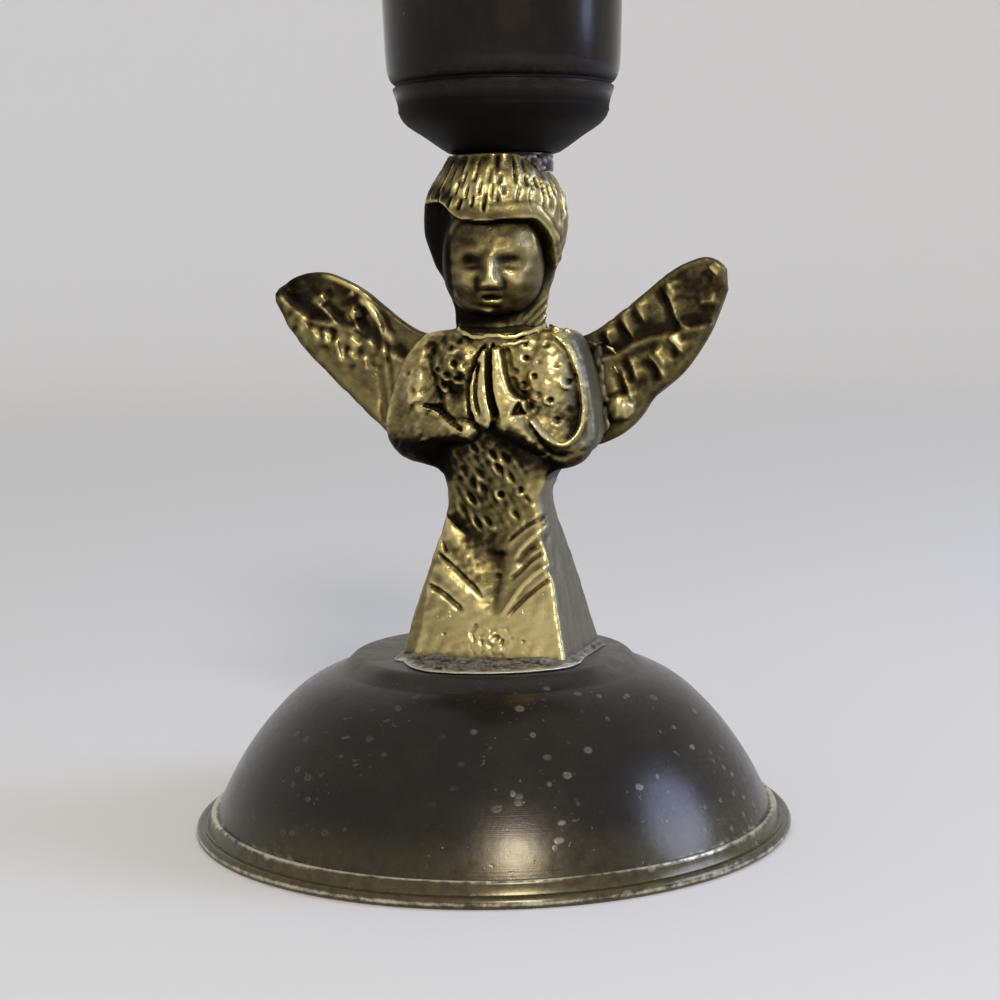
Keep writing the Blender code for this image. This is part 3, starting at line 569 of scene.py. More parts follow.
def brass_finish(name, darker):
    """Cast brass: tarnished in its hollows, rubbed bright on its ridges, grey where it was filed, with
    painted highlights and shade.
    """
    look = settings_of("finish")
    shader = Shader(name)
    fine, wide = shader.painted("fine_hollow"), shader.painted("wide_hollow")
    polish_and_painted_light, filed = shader.painted("polish_and_painted_light"), shader.painted("filed")
    clouds = shader.noise(2.6 * MM, 4.0)
    patches = shader.noise(1.0 * MM, 3.0, 0.6)
    grain = shader.noise(0.4 * MM, 3.0, 0.65)
    # Darkness: tarnish in fine hollows, tarnish and painted shade in wide hollows, and painted shade where
    # the painted layer is low
    dark = 0.54 + darker + 0.5 * fine + 0.42 * wide - 0.66 * polish_and_painted_light
    dark = dark + 0.32 * (clouds - 0.5) + 0.24 * (patches - 0.5) + 0.22 * (grain - 0.5)
    # Painted highlight where the painted layer is high; it adds to the ridges rubbed bright
    bright = (0.9 * polish_and_painted_light - 0.5).clamped()
    rubbed = 0.6 - 0.8 * fine - 0.2 * wide - 0.5 * dark + 0.7 * bright + 0.35 * (grain - 0.5)
    rubbed = rubbed.rise(0.5, 1.05)
    base = shader.mix(dark.rise(0.62, 0.02), look.olive, look.brass)
    base = shader.mix(dark.rise(0.5, 1.04), base, look.tarnish)
    # Near-black where darkest: painted shade
    base = shader.mix(dark.rise(1.0, 1.3), base, shade(look.tarnish, 0.3))
    # Brighter than brass on rubbed ridges and as painted highlights
    base = shader.mix(rubbed * 0.85, base, shade(look.brass, 1.5))
    scratches = shader.noise(1.0 * MM, 4.0, 0.7, shader.stretched(1.0, 1.0, 0.22, (0.3, 0.2, 0.5)))
    grey = shader.mix(scratches.rise(0.3, 0.75), look.filed, shade(look.filed, 0.6))
    grey = shader.mix(dark.rise(0.55, 1.0) * 0.7, grey, shade(look.filed, 0.35))
    base = shader.mix(filed * (0.85 - 0.5 * fine.rise(0.2, 1.2)), base, grey)
    pits = shader.cells(0.7 * MM).rise(0.34, 0.1) * shader.noise(3.1 * MM).rise(0.5, 0.64)
    rough = 0.38 + 0.16 * dark.rise(0.4, 1.0) - 0.1 * rubbed + 0.14 * filed + 0.12 * (clouds - 0.5)
    height = grain * 0.4 + patches * 0.75 + clouds * 0.4 - pits * 0.6 + scratches * filed * 0.3
    normal = shader.bump(height, 0.07 * MM)
    return shader.finish(base_color=base, metallic=1.0, roughness=rough.clamped(), normal=normal)


def foot_finish():
    """Blackened brass, rubbed to metal on ridge and lip, with a painted highlight on the lip, pale specks and
    scratches.
    """
    look = settings_of("finish")
    shader = Shader("blackened_brass")
    x = shader.axis("X")
    out = shader.length(shader.node("ShaderNodeCombineXYZ", {}, {0: x, 1: shader.axis("Y")}))
    clouds = shader.noise(9.0 * MM, 5.0, 0.6)
    small = shader.noise(1.1 * MM, 4.0, 0.6)
    right = x.rise(-14.0 * MM, 4.0 * MM)
    patch = shader.noise(14.0 * MM, 2.0).rise(0.34, 0.58) * (0.3 + 0.7 * right)
    ringed = shader.cells(3.6 * MM, shader.stretched(1.0, 1.0, 1.5)) + 0.16 * (small - 0.5)
    specks = (0.8 * ringed.at(0.11, 0.08) + 0.5 * ringed.rise(0.13, 0.03)) * patch
    ringed = shader.cells(2.9 * MM, shader.stretched(1.25, 1.0, 1.0)) + 0.16 * (small - 0.5)
    patch = shader.noise(8.0 * MM, 2.0).rise(0.5, 0.6) * (0.4 + 0.6 * right)
    specks = specks + (0.8 * ringed.at(0.09, 0.07) + 0.5 * ringed.rise(0.08, 0.02)) * patch
    dust = shader.cells(1.3 * MM).rise(0.11, 0.05) * shader.noise(7.0 * MM, 2.0).rise(0.5, 0.62)
    far = x.rise(21.0 * MM, 26.0 * MM) * (small + clouds - 0.5).rise(0.35, 0.6)
    dust = dust + shader.cells(1.7 * MM).rise(0.3, 0.12) * far
    wear_and_lip_highlight = (shader.painted("wear_and_highlight") * (0.74 + 1.6 * (small - 0.5) + 1.4 * (clouds - 0.5))).rise(0.3, 0.9)
    base = shader.mix(clouds.rise(0.35, 0.7), look.black, shade(look.black, 1.45, 1.35, 1.15))
    brushed = shader.painted("brushed")
    streaks = shader.noise(2.2 * MM, 4.0, 0.7, shader.stretched(0.4, 1.0, 1.0, (0.0, 0.0, 0.35)))
    base = shader.mix(brushed * (0.5 + 0.5 * streaks.rise(0.3, 0.7)), base, (0.17, 0.16, 0.13))
    olive = shader.painted("olive") * (0.5 + 0.5 * small.rise(0.3, 0.6))
    base = shader.mix(olive, base, (0.110, 0.094, 0.042))
    # Rubbed metal on ridge and lip, with the painted highlight along the lip
    base = shader.mix(wear_and_lip_highlight, base, (0.62, 0.58, 0.43))
    base = shader.mix((specks + 0.6 * dust).clamped() * 0.62, base, (0.26, 0.235, 0.20))
    arcs = shader.noise(0.9 * MM, 2.0, 0.5, shader.stretched(0.10, 1.0, 1.0, (0.4, 0.5, 0.9)))
    scratches = arcs.rise(0.66, 0.74) * shader.noise(11.0 * MM, 2.0).rise(0.5, 0.62)
    base = shader.mix(scratches * 0.35, base, (0.20, 0.175, 0.14))
    inside = shader.painted("inside")
    base = shader.mix(inside * 0.8, base, shader.mix(small, (0.055, 0.042, 0.022), (0.14, 0.11, 0.055)))
    rough = 0.22 + 0.14 * (clouds - 0.5) + 0.16 * (small - 0.3) + 0.25 * specks + 0.3 * brushed + 0.2 * inside
    height = small * 0.28 + clouds * 0.3 + (specks + dust) * 0.34 - scratches * 0.3
    height = height + shader.lines(out * 2600.0) * (0.1 + 0.5 * inside)
    return shader.finish(
        base_color=base,
        metallic=(0.55 + 0.45 * wear_and_lip_highlight).clamped(),
        roughness=rough.clamped(),
        normal=shader.bump(height, 0.06 * MM),
        specular_ior_level=0.3,
        coat_weight=0.08,
        coat_roughness=0.16,
    )


def cup_finish(name, tint):
    """Glossy black over brass, with turning lines, faint streaks, a few rubbed spots and painted shade
    underneath.
    """
    look = settings_of("finish")
    shader = Shader(name)
    clouds = shader.noise(7.0 * MM, 4.0, 0.6)
    small = shader.noise(0.8 * MM, 4.0, 0.6)
    streaks = shader.noise(1.5 * MM, 4.0, 0.6, shader.stretched(1.0, 1.0, 0.12))
    black = shade(look.cup, *tint)
    base = shader.mix((0.55 * clouds + 0.45 * streaks).rise(0.42, 0.66), black, shade(black, 2.2, 1.75, 1.3))
    rubbed = shader.painted("wear_and_highlight") * small.rise(0.42, 0.68)
    base = shader.mix(rubbed * 0.5, base, (0.14, 0.12, 0.085))
    specks = shader.cells(3.4 * MM).rise(0.09, 0.04) * shader.noise(8.0 * MM).rise(0.5, 0.6)
    base = shader.mix(specks * 0.4, base, (0.12, 0.105, 0.09))
    inside, shade_below = shader.painted("inside"), shader.painted("shade_below")
    base = shader.mix(inside * (0.4 + 0.4 * small), base, (0.085, 0.07, 0.045))
    # Painted shade: darker, rougher and without coat underneath
    base = shader.mix(shade_below * 0.8, base, shade(look.cup, 0.3))
    rough = 0.19 + 0.12 * (clouds - 0.5) + 0.14 * (streaks - 0.5) + 0.25 * rubbed
    rough = rough + 0.28 * inside + 0.4 * shade_below
    height = small * 0.16 + shader.lines(shader.axis("Z") * 3000.0) * 0.25 + specks * 0.4
    return shader.finish(
        base_color=base,
        metallic=0.5,
        roughness=rough.clamped(),
        normal=shader.bump(height, 0.03 * MM),
        specular_ior_level=0.12,
        coat_weight=(0.24 * (1.0 - shade_below)).clamped(),
        coat_roughness=0.12,
    )


def solder_finish():
    """Dull grey solder with dark flux between its grains, scraped bright at its edge, with painted
    highlights.
    """
    look = settings_of("finish")
    shader = Shader("solder_grey")
    fine, wide, scraped_and_highlight = (shader.painted(name) for name in ("fine_hollow", "wide_hollow", "scraped_and_highlight"))
    small = shader.noise(0.35 * MM, 4.0, 0.65)
    clouds = shader.noise(1.6 * MM, 3.0)
    dark = 0.56 + 0.7 * fine + 0.4 * wide + 1.5 * (clouds - 0.5) + 0.8 * (small - 0.5) - 0.8 * scraped_and_highlight
    dark = dark.rise(0.25, 0.95)
    base = shader.mix(clouds.rise(0.42, 0.62), look.solder, (0.28, 0.26, 0.19))
    base = shader.mix(dark, base, (0.035, 0.030, 0.022))
    # Pale where scraped, and painted highlights along the front edge and on upward faces
    bright = (scraped_and_highlight + 0.5 * (small - 0.5)).rise(0.45, 0.9)
    base = shader.mix(bright * 0.8, base, (0.68, 0.66, 0.56))
    rough = (0.44 + 0.3 * dark + 0.2 * (small - 0.5) - 0.1 * bright).clamped()
    return shader.finish(base_color=base, metallic=0.8, roughness=rough, normal=shader.bump(small, 0.12 * MM))


def steel_finish():
    """Plain steel with turning marks and a little rust."""
    look = settings_of("finish")
    shader = Shader("steel")
    clouds = shader.noise(2.4 * MM, 4.0, 0.65)
    small = shader.noise(0.4 * MM, 3.0)
    rust = (clouds + 0.4 * (small - 0.5)).rise(0.58, 0.78)
    base = shader.mix(small.rise(0.3, 0.8), look.steel, shade(look.steel, 0.6))
    base = shader.mix(rust * 0.8, base, (0.10, 0.045, 0.018))
    return shader.finish(
        base_color=base,
        metallic=(1.0 - 0.7 * rust).clamped(),
        roughness=(0.34 + 0.35 * rust + 0.15 * small).clamped(),
        normal=shader.bump(small + 0.6 * rust, 0.04 * MM),
    )


# The angel


def furrows(table, x, h, count=12):
    """Ridges and, where the height is negative, furrows: each has its height, half width and line."""
    return sum(high * furrow(line, x, h, width, count) for high, width, line in table)


def gown_width(h):
    """Width, depth and corner of gown and trunk at a height."""
    down = np.clip(h / HEM, 0.0, 1.0)
    flare = blend_max((down - 0.16) / 0.84, 0.0 * down, 0.12)
    up = np.clip(h / NECK, 0.0, 1.0)
    swell = np.sin(np.minimum(up / 0.8, 1.0) * math.pi / 2)
    slope = ease(0.72, 1.0, up)
    width = 11.4 + 8.4 * flare + 2.6 * swell - 3.4 * slope
    depth = 7.2 + 6.8 * flare + 1.2 * swell - slope
    return width, depth, 0.45 + 1.3 * ease(0.6, 1.0, 1.0 - down)


def gown_place(x, y, h):
    """Place across the gown once lean and taper are taken out, and the gown's width, depth and corner."""
    lean = 0.5 * ease(HEM, 0.0, h) * ease(NECK + 5.8, NECK, h)
    narrow = ease(-13.0, -2.0, h) * ease(5.0, 1.0, h)
    spread = 1.0 + 0.05 * y / 7.0 - 0.07 * narrow * ease(-1.0, BACK, y)
    left = 0.85 * ease(-3.0, HEM, h) + 0.45 * bump_at(h, 0.6, 3.2)
    right = 0.35 * ease(-11.0, -10.0, h) * ease(-3.0, -6.0, h) * ease(0.0, -3.0, y)
    return (x - lean) / spread + np.where(x < 0, left, right), *gown_width(h)


V_LEFT = ((-6.2, -3.3), (-5.2, -4.2), (-3.9, -5.3), (-2.2, -6.9), (-0.5, -8.2), (0.9, -9.6), (1.1, -13.2))
V_RIGHT = ((1.2, -13.2), (1.4, -8.0), (2.0, -7.0), (3.2, -5.9), (4.6, -4.9), (6.3, -4.0), (7.6, -3.4))

RIGHT_HOLLOW = ((6.9, -6.2), (4.7, -7.9), (3.0, -9.6))
ROUGH_FURROW = ((6.6, -6.6), (4.7, -7.9), (3.0, -9.6))
# Pleats of the gown, and the crescent left of the torn spot: height, half width and line
FOLDS = (
    (-0.32, 0.22, ((-6.0, -5.9), (-5.8, -6.4), (-5.4, -7.3), (-4.9, -8.3))),
    (-0.42, 0.26, ((-6.4, -7.9), (-4.3, -9.6), (-2.7, -11.0), (-1.3, -12.3), (-0.5, -13.6))),
    (-0.50, 0.26, ((-7.3, -11.7), (-5.2, -12.8), (-3.9, -13.8), (-2.6, -14.8))),
    (-0.36, 0.20, ((6.8, -3.7), (4.6, -4.9), (3.2, -5.9), (2.0, -7.0))),
    (-0.40, 0.26, ((6.5, -7.8), (4.7, -9.1), (3.7, -10.2), (2.3, -11.2))),
    (-0.42, 0.20, ((7.5, -10.6), (5.6, -12.1), (3.8, -13.7), (2.3, -15.3))),
    (0.42, 0.48, ((7.4, -4.5), (5.0, -6.5), (3.5, -8.2), (2.9, -9.4))),
    (0.46, 0.46, ((7.6, -8.8), (5.0, -10.9), (3.6, -12.4), (2.4, -14.3), (1.5, -15.6))),
    (0.34, 0.85, ((-5.6, -4.7), (-3.6, -7.4), (-2.1, -9.6), (-0.9, -11.6))),
    (0.22, 0.60, ((-6.6, -6.8), (-5.4, -8.1), (-3.4, -9.8))),
    (0.26, 0.70, ((-6.8, -9.4), (-4.2, -11.4), (-1.8, -13.4))),
    (-0.34, 0.70, RIGHT_HOLLOW),
    (-0.50, 1.25, ((1.3, -7.4), (1.35, -9.0), (1.3, -10.5), (0.9, -12.6), (0.3, -15.2))),
    (-0.18, 0.45, ((1.2, -10.2), (1.1, -11.4), (0.9, -12.6), (0.6, -13.8))),
    (-0.24, 0.26, ((-0.9, -16.1), (-1.4, -16.7), (-1.6, -17.4), (-1.1, -18.2))),
    (0.16, 0.24, ((0.0, -18.1), (0.5, -17.4), (1.1, -16.9))),
)
ROUGH = (
    (1.0, 1.0, ((-3.6, -7.6), (-1.6, -10.0), (-0.5, -12.6))),
    (0.7, 0.6, ROUGH_FURROW),
    (1.0, 0.9, ((1.4, -6.8), (1.3, -10.0), (0.8, -13.0))),
)
# Punched dots and chisel strokes: place across, height and size
PUNCHES = (
    (4.49, 15.56, 0.7), (4.58, 14.0, 1.1), (5.71, 11.98, 0.9), (4.31, 10.98, 0.8), (9.37, 11.3, 1.0),
    (7.51, 9.3, 1.25), (6.9, 15.43, 0.5), (3.4, 12.43, 0.6), (8.06, 7.06, 0.7), (8.3, 13.2, 0.45),
    (6.2, 13.6, 0.4), (6.1, 9.9, 0.5), (5.2, 8.6, 0.4),
    (-5.72, 12.68, 0.8), (-4.66, 12.1, 0.7), (-3.59, 13.4, 0.9), (-5.1, 10.9, 0.7), (-3.26, 11.6, 0.9),
    (-6.51, 14.73, 0.6), (-4.15, 15.2, 0.8), (-8.6, 10.4, 0.5), (-9.4, 12.3, 0.4), (-3.2, 15.9, 0.6),
    (1.33, -1.52, 1.2), (3.56, -0.92, 0.95), (3.05, -3.78, 0.6), (-1.43, -4.77, 0.8), (-2.21, -1.91, 0.8),
    (-0.66, -0.86, 0.7), (-0.13, -4.63, 0.7), (0.47, 3.03, 0.6), (1.26, 1.33, 0.8), (-3.1, 1.29, 0.5),
    (-1.52, 3.58, 0.6), (2.53, 0.43, 0.5), (-1.95, -0.2, 0.4),
    (-3.18, -3.3, 0.4), (4.48, -2.05, 0.4), (-0.98, 0.74, 0.5), (1.9, 2.6, 0.4),
)
# Pits of the casting above the hem: place across, height and radius
PITS = ((1.3, -17.5, 0.26), (1.9, -17.9, 0.18), (4.4, -17.9, 0.14), (-4.9, -17.3, 0.12))


def uneven(x, z, size, seed):
    """Lumpy numbers about from -1 to 1, with lumps about a size across."""
    draw = np.random.default_rng(seed)
    total = 0.0
    for _ in range(9):
        angle, phase = draw.uniform(0, math.pi), draw.uniform(0, 2 * math.pi)
        pace = 2 * math.pi / (size * draw.uniform(0.8, 2.0))
        total = total + np.sin(pace * (math.cos(angle) * x + math.sin(angle) * z) + phase)
    return total / 4.0


def furrow(line, x, h, width, count=12):
    """1 in the bed of a furrow along a line, fading to its sides and its ends."""
    away, _, share = to_curve(line, x, h, count)
    return bump_at(away, 0.0, width) * ease(0.0, 0.12, share) * ease(1.0, 0.82, share)


def bodice_edge(x, h):
    """Distance to the left line of the bodice's V, whether above it, and how far inside the V."""
    left, above, _ = to_curve(V_LEFT, x, h, 20)
    right, side, _ = to_curve(V_RIGHT, x, h, 20)
    return left, above > 0, np.minimum(np.where(above > 0, left, -left), np.where(side > 0, right, -right))


def gown_relief(x, h):
    """How far the front of gown and bodice stands out."""
    v_left, _, inner = bodice_edge(x, h)
    soft = 0.2 + 0.9 * ease(-4.8, -7.4, h)
    bodice = ease(-soft, soft, inner) * ease(-9.8, -8.6, h)
    step = 0.30 * np.exp(-v_left / 1.1) * ease(-6.0, -4.6, h) * (x < 1.0)
    relief = -bodice * (0.22 * ease(1.5, -4.5, h) * ease(-8.2, -5.6, h) + step)
    relief = relief + settings_of("angel").fold / FOLD * furrows(FOLDS, x, h)
    relief = relief + 0.035 * furrows(ROUGH, x, h) * uneven(x, h, 0.6, 4)
    for px, ph, radius in PITS:
        relief = relief - 0.34 * bump_at(np.hypot(x - px, (h - ph) * 1.2), 0.0, radius)
    torn = bump_at(x, 0.5, 2.4) * bump_at(h, -18.0, 1.4)
    relief = relief - torn * 0.3 * ease(0.2, 1.1, uneven(x, h, 0.8, 7))
    relief = relief + torn * (0.08 * uneven(x, h, 1.1, 5) + 0.07 * uneven(x, h, 0.5, 6))
    return relief + 0.025 * uneven(x, h, 3.4, 8) + 0.006 * uneven(x, h, 0.7, 9)


def punch_relief(x, h, depth):
    """Punched dots, each a little crater with a lip to one side, and slanting strokes on the bodice."""
    chipped = ease(5.2, 4.0, h) * ease(-6.2, -4.8, h) * ease(5.2, 3.8, np.abs(x))
    relief = 0.07 * chipped * uneven(0.87 * x + 0.5 * h, 0.4 * (0.87 * h - 0.5 * x), 0.8, 15)
    for i, (px, ph, size) in enumerate(PUNCHES):
        radius = 0.27 + 0.08 * ((i * 5) % 4) / 3
        lean = -2.3 + 0.8 * math.sin(2.4 * i)
        across, along = x - px, (h - ph) * (1.0 + 0.12 * ((i * 3) % 4))
        if ph < 4.5 and size < 0.9:
            across, along = 1.1 * (0.87 * across + 0.5 * along), 0.5 * (0.87 * along - 0.5 * across)
        away = np.hypot(across, along)
        lip = ((x - px) * math.cos(lean) + (h - ph) * math.sin(lean)) / 0.55
        lip = 0.42 * bump_at(away, 0.6, 0.24) * np.clip(lip, 0.0, 1.2)
        relief = relief + depth * size * (lip - bump_at(away, 0.0, radius))
    return relief + 0.035 * uneven(x, h, 1.1, 14)


PLATE = (
    (5.0, 18.4), (7.6, 17.7), (9.6, 16.2), (10.7, 13.6), (11.5, 10.5), (11.9, 7.4), (11.9, 5.0), (11.2, 3.5),
    (9.6, 2.4), (8.0, 1.5), (6.7, 0.6), (6.1, -0.8), (-5.2, -0.8), (-5.8, 0.6), (-7.2, 1.7), (-8.9, 2.6),
    (-10.9, 3.5), (-12.2, 4.7), (-12.6, 6.4), (-12.1, 9.2), (-10.9, 12.2), (-9.2, 15.1), (-7.1, 17.1),
    (-5.0, 18.1),
)
LEFT_HAND = (
    (0.0, 15.1), (-0.75, 13.6), (-1.35, 11.6), (-1.6, 9.6), (-1.2, 8.0), (-0.4, 6.6), (0.6, 6.2),
    (1.1, 7.4), (0.76, 9.4), (0.56, 11.8), (0.6, 14.2), (0.4, 15.1),
)
RIGHT_HAND = (
    (0.95, 15.2), (1.7, 15.2), (2.2, 13.9), (2.55, 12.0), (3.0, 10.7), (3.8, 9.7), (4.8, 9.3), (4.5, 7.6),
    (3.3, 6.4), (2.2, 6.6), (1.95, 7.6), (1.3, 9.5), (1.0, 11.8), (0.95, 13.8),
)


def arms_form(x, y, h):
    """The plate of the shoulders and sleeves, the forearms over it, and the two hands."""
    plate = slab(to_shape(PLATE, x, h, 90), y - 0.3, 3.3, 0.7)
    right = egg(x, y, h, (6.9, 0.0, 10.9), (4.2, 5.1, 6.9))
    left = egg(x, y, h, (-8.0, 0.2, 9.6), (3.5, 4.9, 5.8))
    form = blend_min(plate, blend_min(right, left, 0.6), 0.9)
    parts = (
        (0.5, egg(x, y, h, (-3.4, 0.0, 12.8), (4.6, 4.8, 5.0))),
        (1.1, limb(x, y, h, (8.7, -1.5, 4.0), (2.9, -4.7, 6.9), 2.5, 1.9)),
        (0.9, limb(x, y, h, (-9.6, -1.3, 5.6), (-2.2, -4.8, 5.9), 2.45, 1.3)),
        (1.0, egg(x, y, h, (-8.0, -0.8, 4.4), (4.0, 4.0, 2.7))),
    )
    for soft, part in parts:
        form = blend_min(form, part, soft)
    for outline, lean, reach in ((LEFT_HAND, 0.12, 7.0), (RIGHT_HAND, -0.22, 6.9)):
        flat = to_shape(outline, x, h, 60)
        half = reach - 2.0 - 0.1 * np.abs(h - 9.0)
        form = blend_min(form, slab(flat, -y - 2.0 - lean * x, half, 0.55), 0.3)
    return form


RIM = (
    (5.3, 17.6), (7.4, 16.8), (9.0, 15.4), (10.2, 13.0), (10.8, 10.2), (10.8, 7.4), (10.1, 5.2),
    (8.7, 4.2), (7.2, 4.9), (5.4, 7.0),
)

CUFF = ((-7.8, 8.6), (-6.4, 8.2), (-4.7, 7.1), (-2.4, 5.7))
# Cuts round the sleeves and between the fingers, and the longer ones beside the hands
ARM_CUTS = (
    (-0.35, 0.45, ((4.2, 7.9), (5.8, 5.4), (7.6, 3.1), (9.8, 2.9))),
    (-0.7, 0.24, ((-0.2, 14.0), (-0.62, 12.0), (-0.72, 9.8), (-0.2, 7.4))),
    (-0.35, 0.45, ((2.2, 15.4), (2.65, 13.2), (3.1, 11.4), (3.9, 10.2), (5.0, 9.8))),
    (-0.25, 0.8, ((-6.6, 16.2), (-6.9, 13.2), (-6.8, 10.4), (-5.6, 8.8))),
)
HAND_CUTS = (
    (-0.8, 0.3, ((-1.75, 6.6), (-2.15, 9.4), (-1.5, 12.6), (-0.3, 15.2), (0.2, 15.9))),
    (-0.7, 0.25, ((0.7, 16.0), (0.68, 14.2), (0.72, 11.7), (1.0, 9.45), (1.65, 7.0))),
)
ARM_DABS = ((-0.45, -3.9, 2.2, 9.4, 1.6), (0.25, -7.7, 0.9, 11.8, 1.1), (0.22, -8.8, 0.7, 9.4, 0.7))


def arms_relief(x, h):
    """Edges of sleeves, cuffs and palms."""
    rim, side, _ = to_curve(RIM, x, h, 44)
    relief = 0.34 * bump_at(rim, 0.0, 0.24) - 0.10 * bump_at(rim, 0.7, 0.4) * (side < 0)
    cuff, side, share = to_curve(CUFF, x, h, 20)
    fade = ease(0.0, 0.15, share) * ease(1.0, 0.9, share)
    relief = relief + fade * np.where(side > 0, -0.9, 0.4) * np.exp(-cuff / 0.4)
    relief = relief + furrows(ARM_CUTS, x, h) + furrows(HAND_CUTS, x, h, 16) + dabs(ARM_DABS, x, h)
    notch = to_outline(((4.1, 9.2), (3.4, 7.9), (4.6, 7.85)), x, h)
    blotch = bump_at(x, -4.4, 2.4) * bump_at(h, 13.0, 2.8)
    relief = relief - 0.7 * ease(0.3, -0.2, notch) + (0.03 + 0.15 * blotch) * uneven(x, h, 1.1, 12)
    return relief + 0.03 * uneven(x, h, 0.6, 13)


def collar_form(x, y, h):
    """Two thin rounds of cord at the neck, the lower only on her left, and a scrap of braze beside them."""
    form = FAR
    cords = ((5.7, 4.6, 17.75, 1.3, -4.2, 6.6, 0.30), (6.0, 5.0, 16.85, 1.2, 1.6, 5.2, 0.22))
    for radius_x, radius_y, level, dip, low_x, high_x, thick in cords:
        round_neck = (np.hypot((x - 0.9) / radius_x, y / radius_y) - 1.0) * radius_y
        rise = h - level + dip * ease(0.2, 1.0, -y / radius_y)
        rise = rise - 0.12 * np.sin(1.7 * x) - 0.05 * np.sin(5.0 * x)
        cord = np.hypot(round_neck, rise) - thick
        cord = cord + 4.0 * (ease(low_x + 0.4, low_x - 0.4, x) + ease(high_x - 0.4, high_x + 0.4, x))
        form = np.minimum(form, cord + 4.0 * ease(-1.5, 0.5, y))
    scrap = ((7.0, -2.2, 17.5), (7.7, -2.9, 17.2), (8.3, -2.5, 16.7), (8.9, -2.2, 17.0), (9.3, -1.8, 16.4))
    for start, end in zip(scrap, scrap[1:]):
        form = blend_min(form, limb(x, y, h, start, end, 0.26, 0.22), 0.2)
    return form


HEAD_TURN = math.radians(11.0)
FRINGE = 29.4
FACE_MIDDLE = 24.6

# How far from the head's middle the cuts in the hair are laid out, in millimetres
HAIR_RADIUS = 7.6

# Seeds of the random cuts in the hair, the beads of braze and the grains of solder
HAIR_SEED = 11
BRAZE_SEED = 17
GRAIN_SEED = 5


def head_frame(x, y):
    cos, sin = math.cos(HEAD_TURN), math.sin(HEAD_TURN)
    return x * cos + y * sin, y * cos - x * sin


# A plain child's face: amount, then place and half width across and up from its middle
FACE = (
    (-0.78, 2.15, 1.15, 0.1, 0.85), (0.26, 2.2, 0.8, -0.1, 0.45), (-0.12, 2.2, 0.8, -0.5, 0.18),
    (0.10, 2.0, 1.6, 1.5, 0.7), (0.28, 0.8, 0.4, -2.3, 0.35), (-0.24, 1.5, 0.45, -2.2, 0.9),
    (0.16, 0.0, 1.0, -3.3, 0.32), (0.5, 0.0, 0.75, -4.25, 0.38), (-0.16, 0.0, 0.9, -4.8, 0.3),
    (0.26, 0.0, 1.2, -5.4, 0.7), (0.40, 2.9, 1.3, -1.9, 1.4),
)


def face_relief(x, h):
    """A calm, plain child's face: deep sockets with lowered lids, wedge nose, small mouth, round cheeks."""
    side, up = np.abs(x), h - FACE_MIDDLE
    ridge = (0.45 + 0.95 * ease(0.9, -2.0, up)) * ease(1.4, 0.1, up) * ease(-2.95, -2.4, up)
    nose = ridge * bump_at(side, 0.0, 0.62 + 0.33 * ease(-0.6, -2.2, up))
    return dabs(FACE, side, up) + nose - 0.5 * np.exp(-(side**4)) * bump_at(up, -3.7 - 0.14 * side, 0.24)


def hair_cuts():
    """Places of the chisel cuts: angle from the front, height, length, width and depth."""
    draw = np.random.default_rng(HAIR_SEED)
    cuts = []
    for row, (level, count) in enumerate(((31.5, 15), (32.7, 17), (33.9, 15), (35.1, 11))):
        for i in range(count):
            angle = -1.7 + 3.4 * (i + 0.5 * (row % 2) + 0.5 * draw.random()) / count
            fall = 2.6 * max(0.0, angle - 0.85)
            tall, wide, deep = draw.uniform(0.45, 1.1), draw.uniform(0.16, 0.3), draw.uniform(0.35, 1.0)
            cuts.append((angle, level - fall + draw.uniform(-0.5, 0.5), tall, wide, deep))
    return cuts


def hem_of_hair(angle):
    """Height of the fringe's edge: high on her right, level in front, low beside her left cheek."""
    level = FRINGE + 2.0 * ease(-0.45, -0.95, angle) - 0.3 * bump_at(angle, -0.12, 0.25)
    return level - 5.2 * ease(0.62, 1.45, angle)


def hair_place(x, h):
    """Place across the head once its lean is taken out."""
    return x - 0.2 - 0.45 * ease(27.0, 18.0, h)


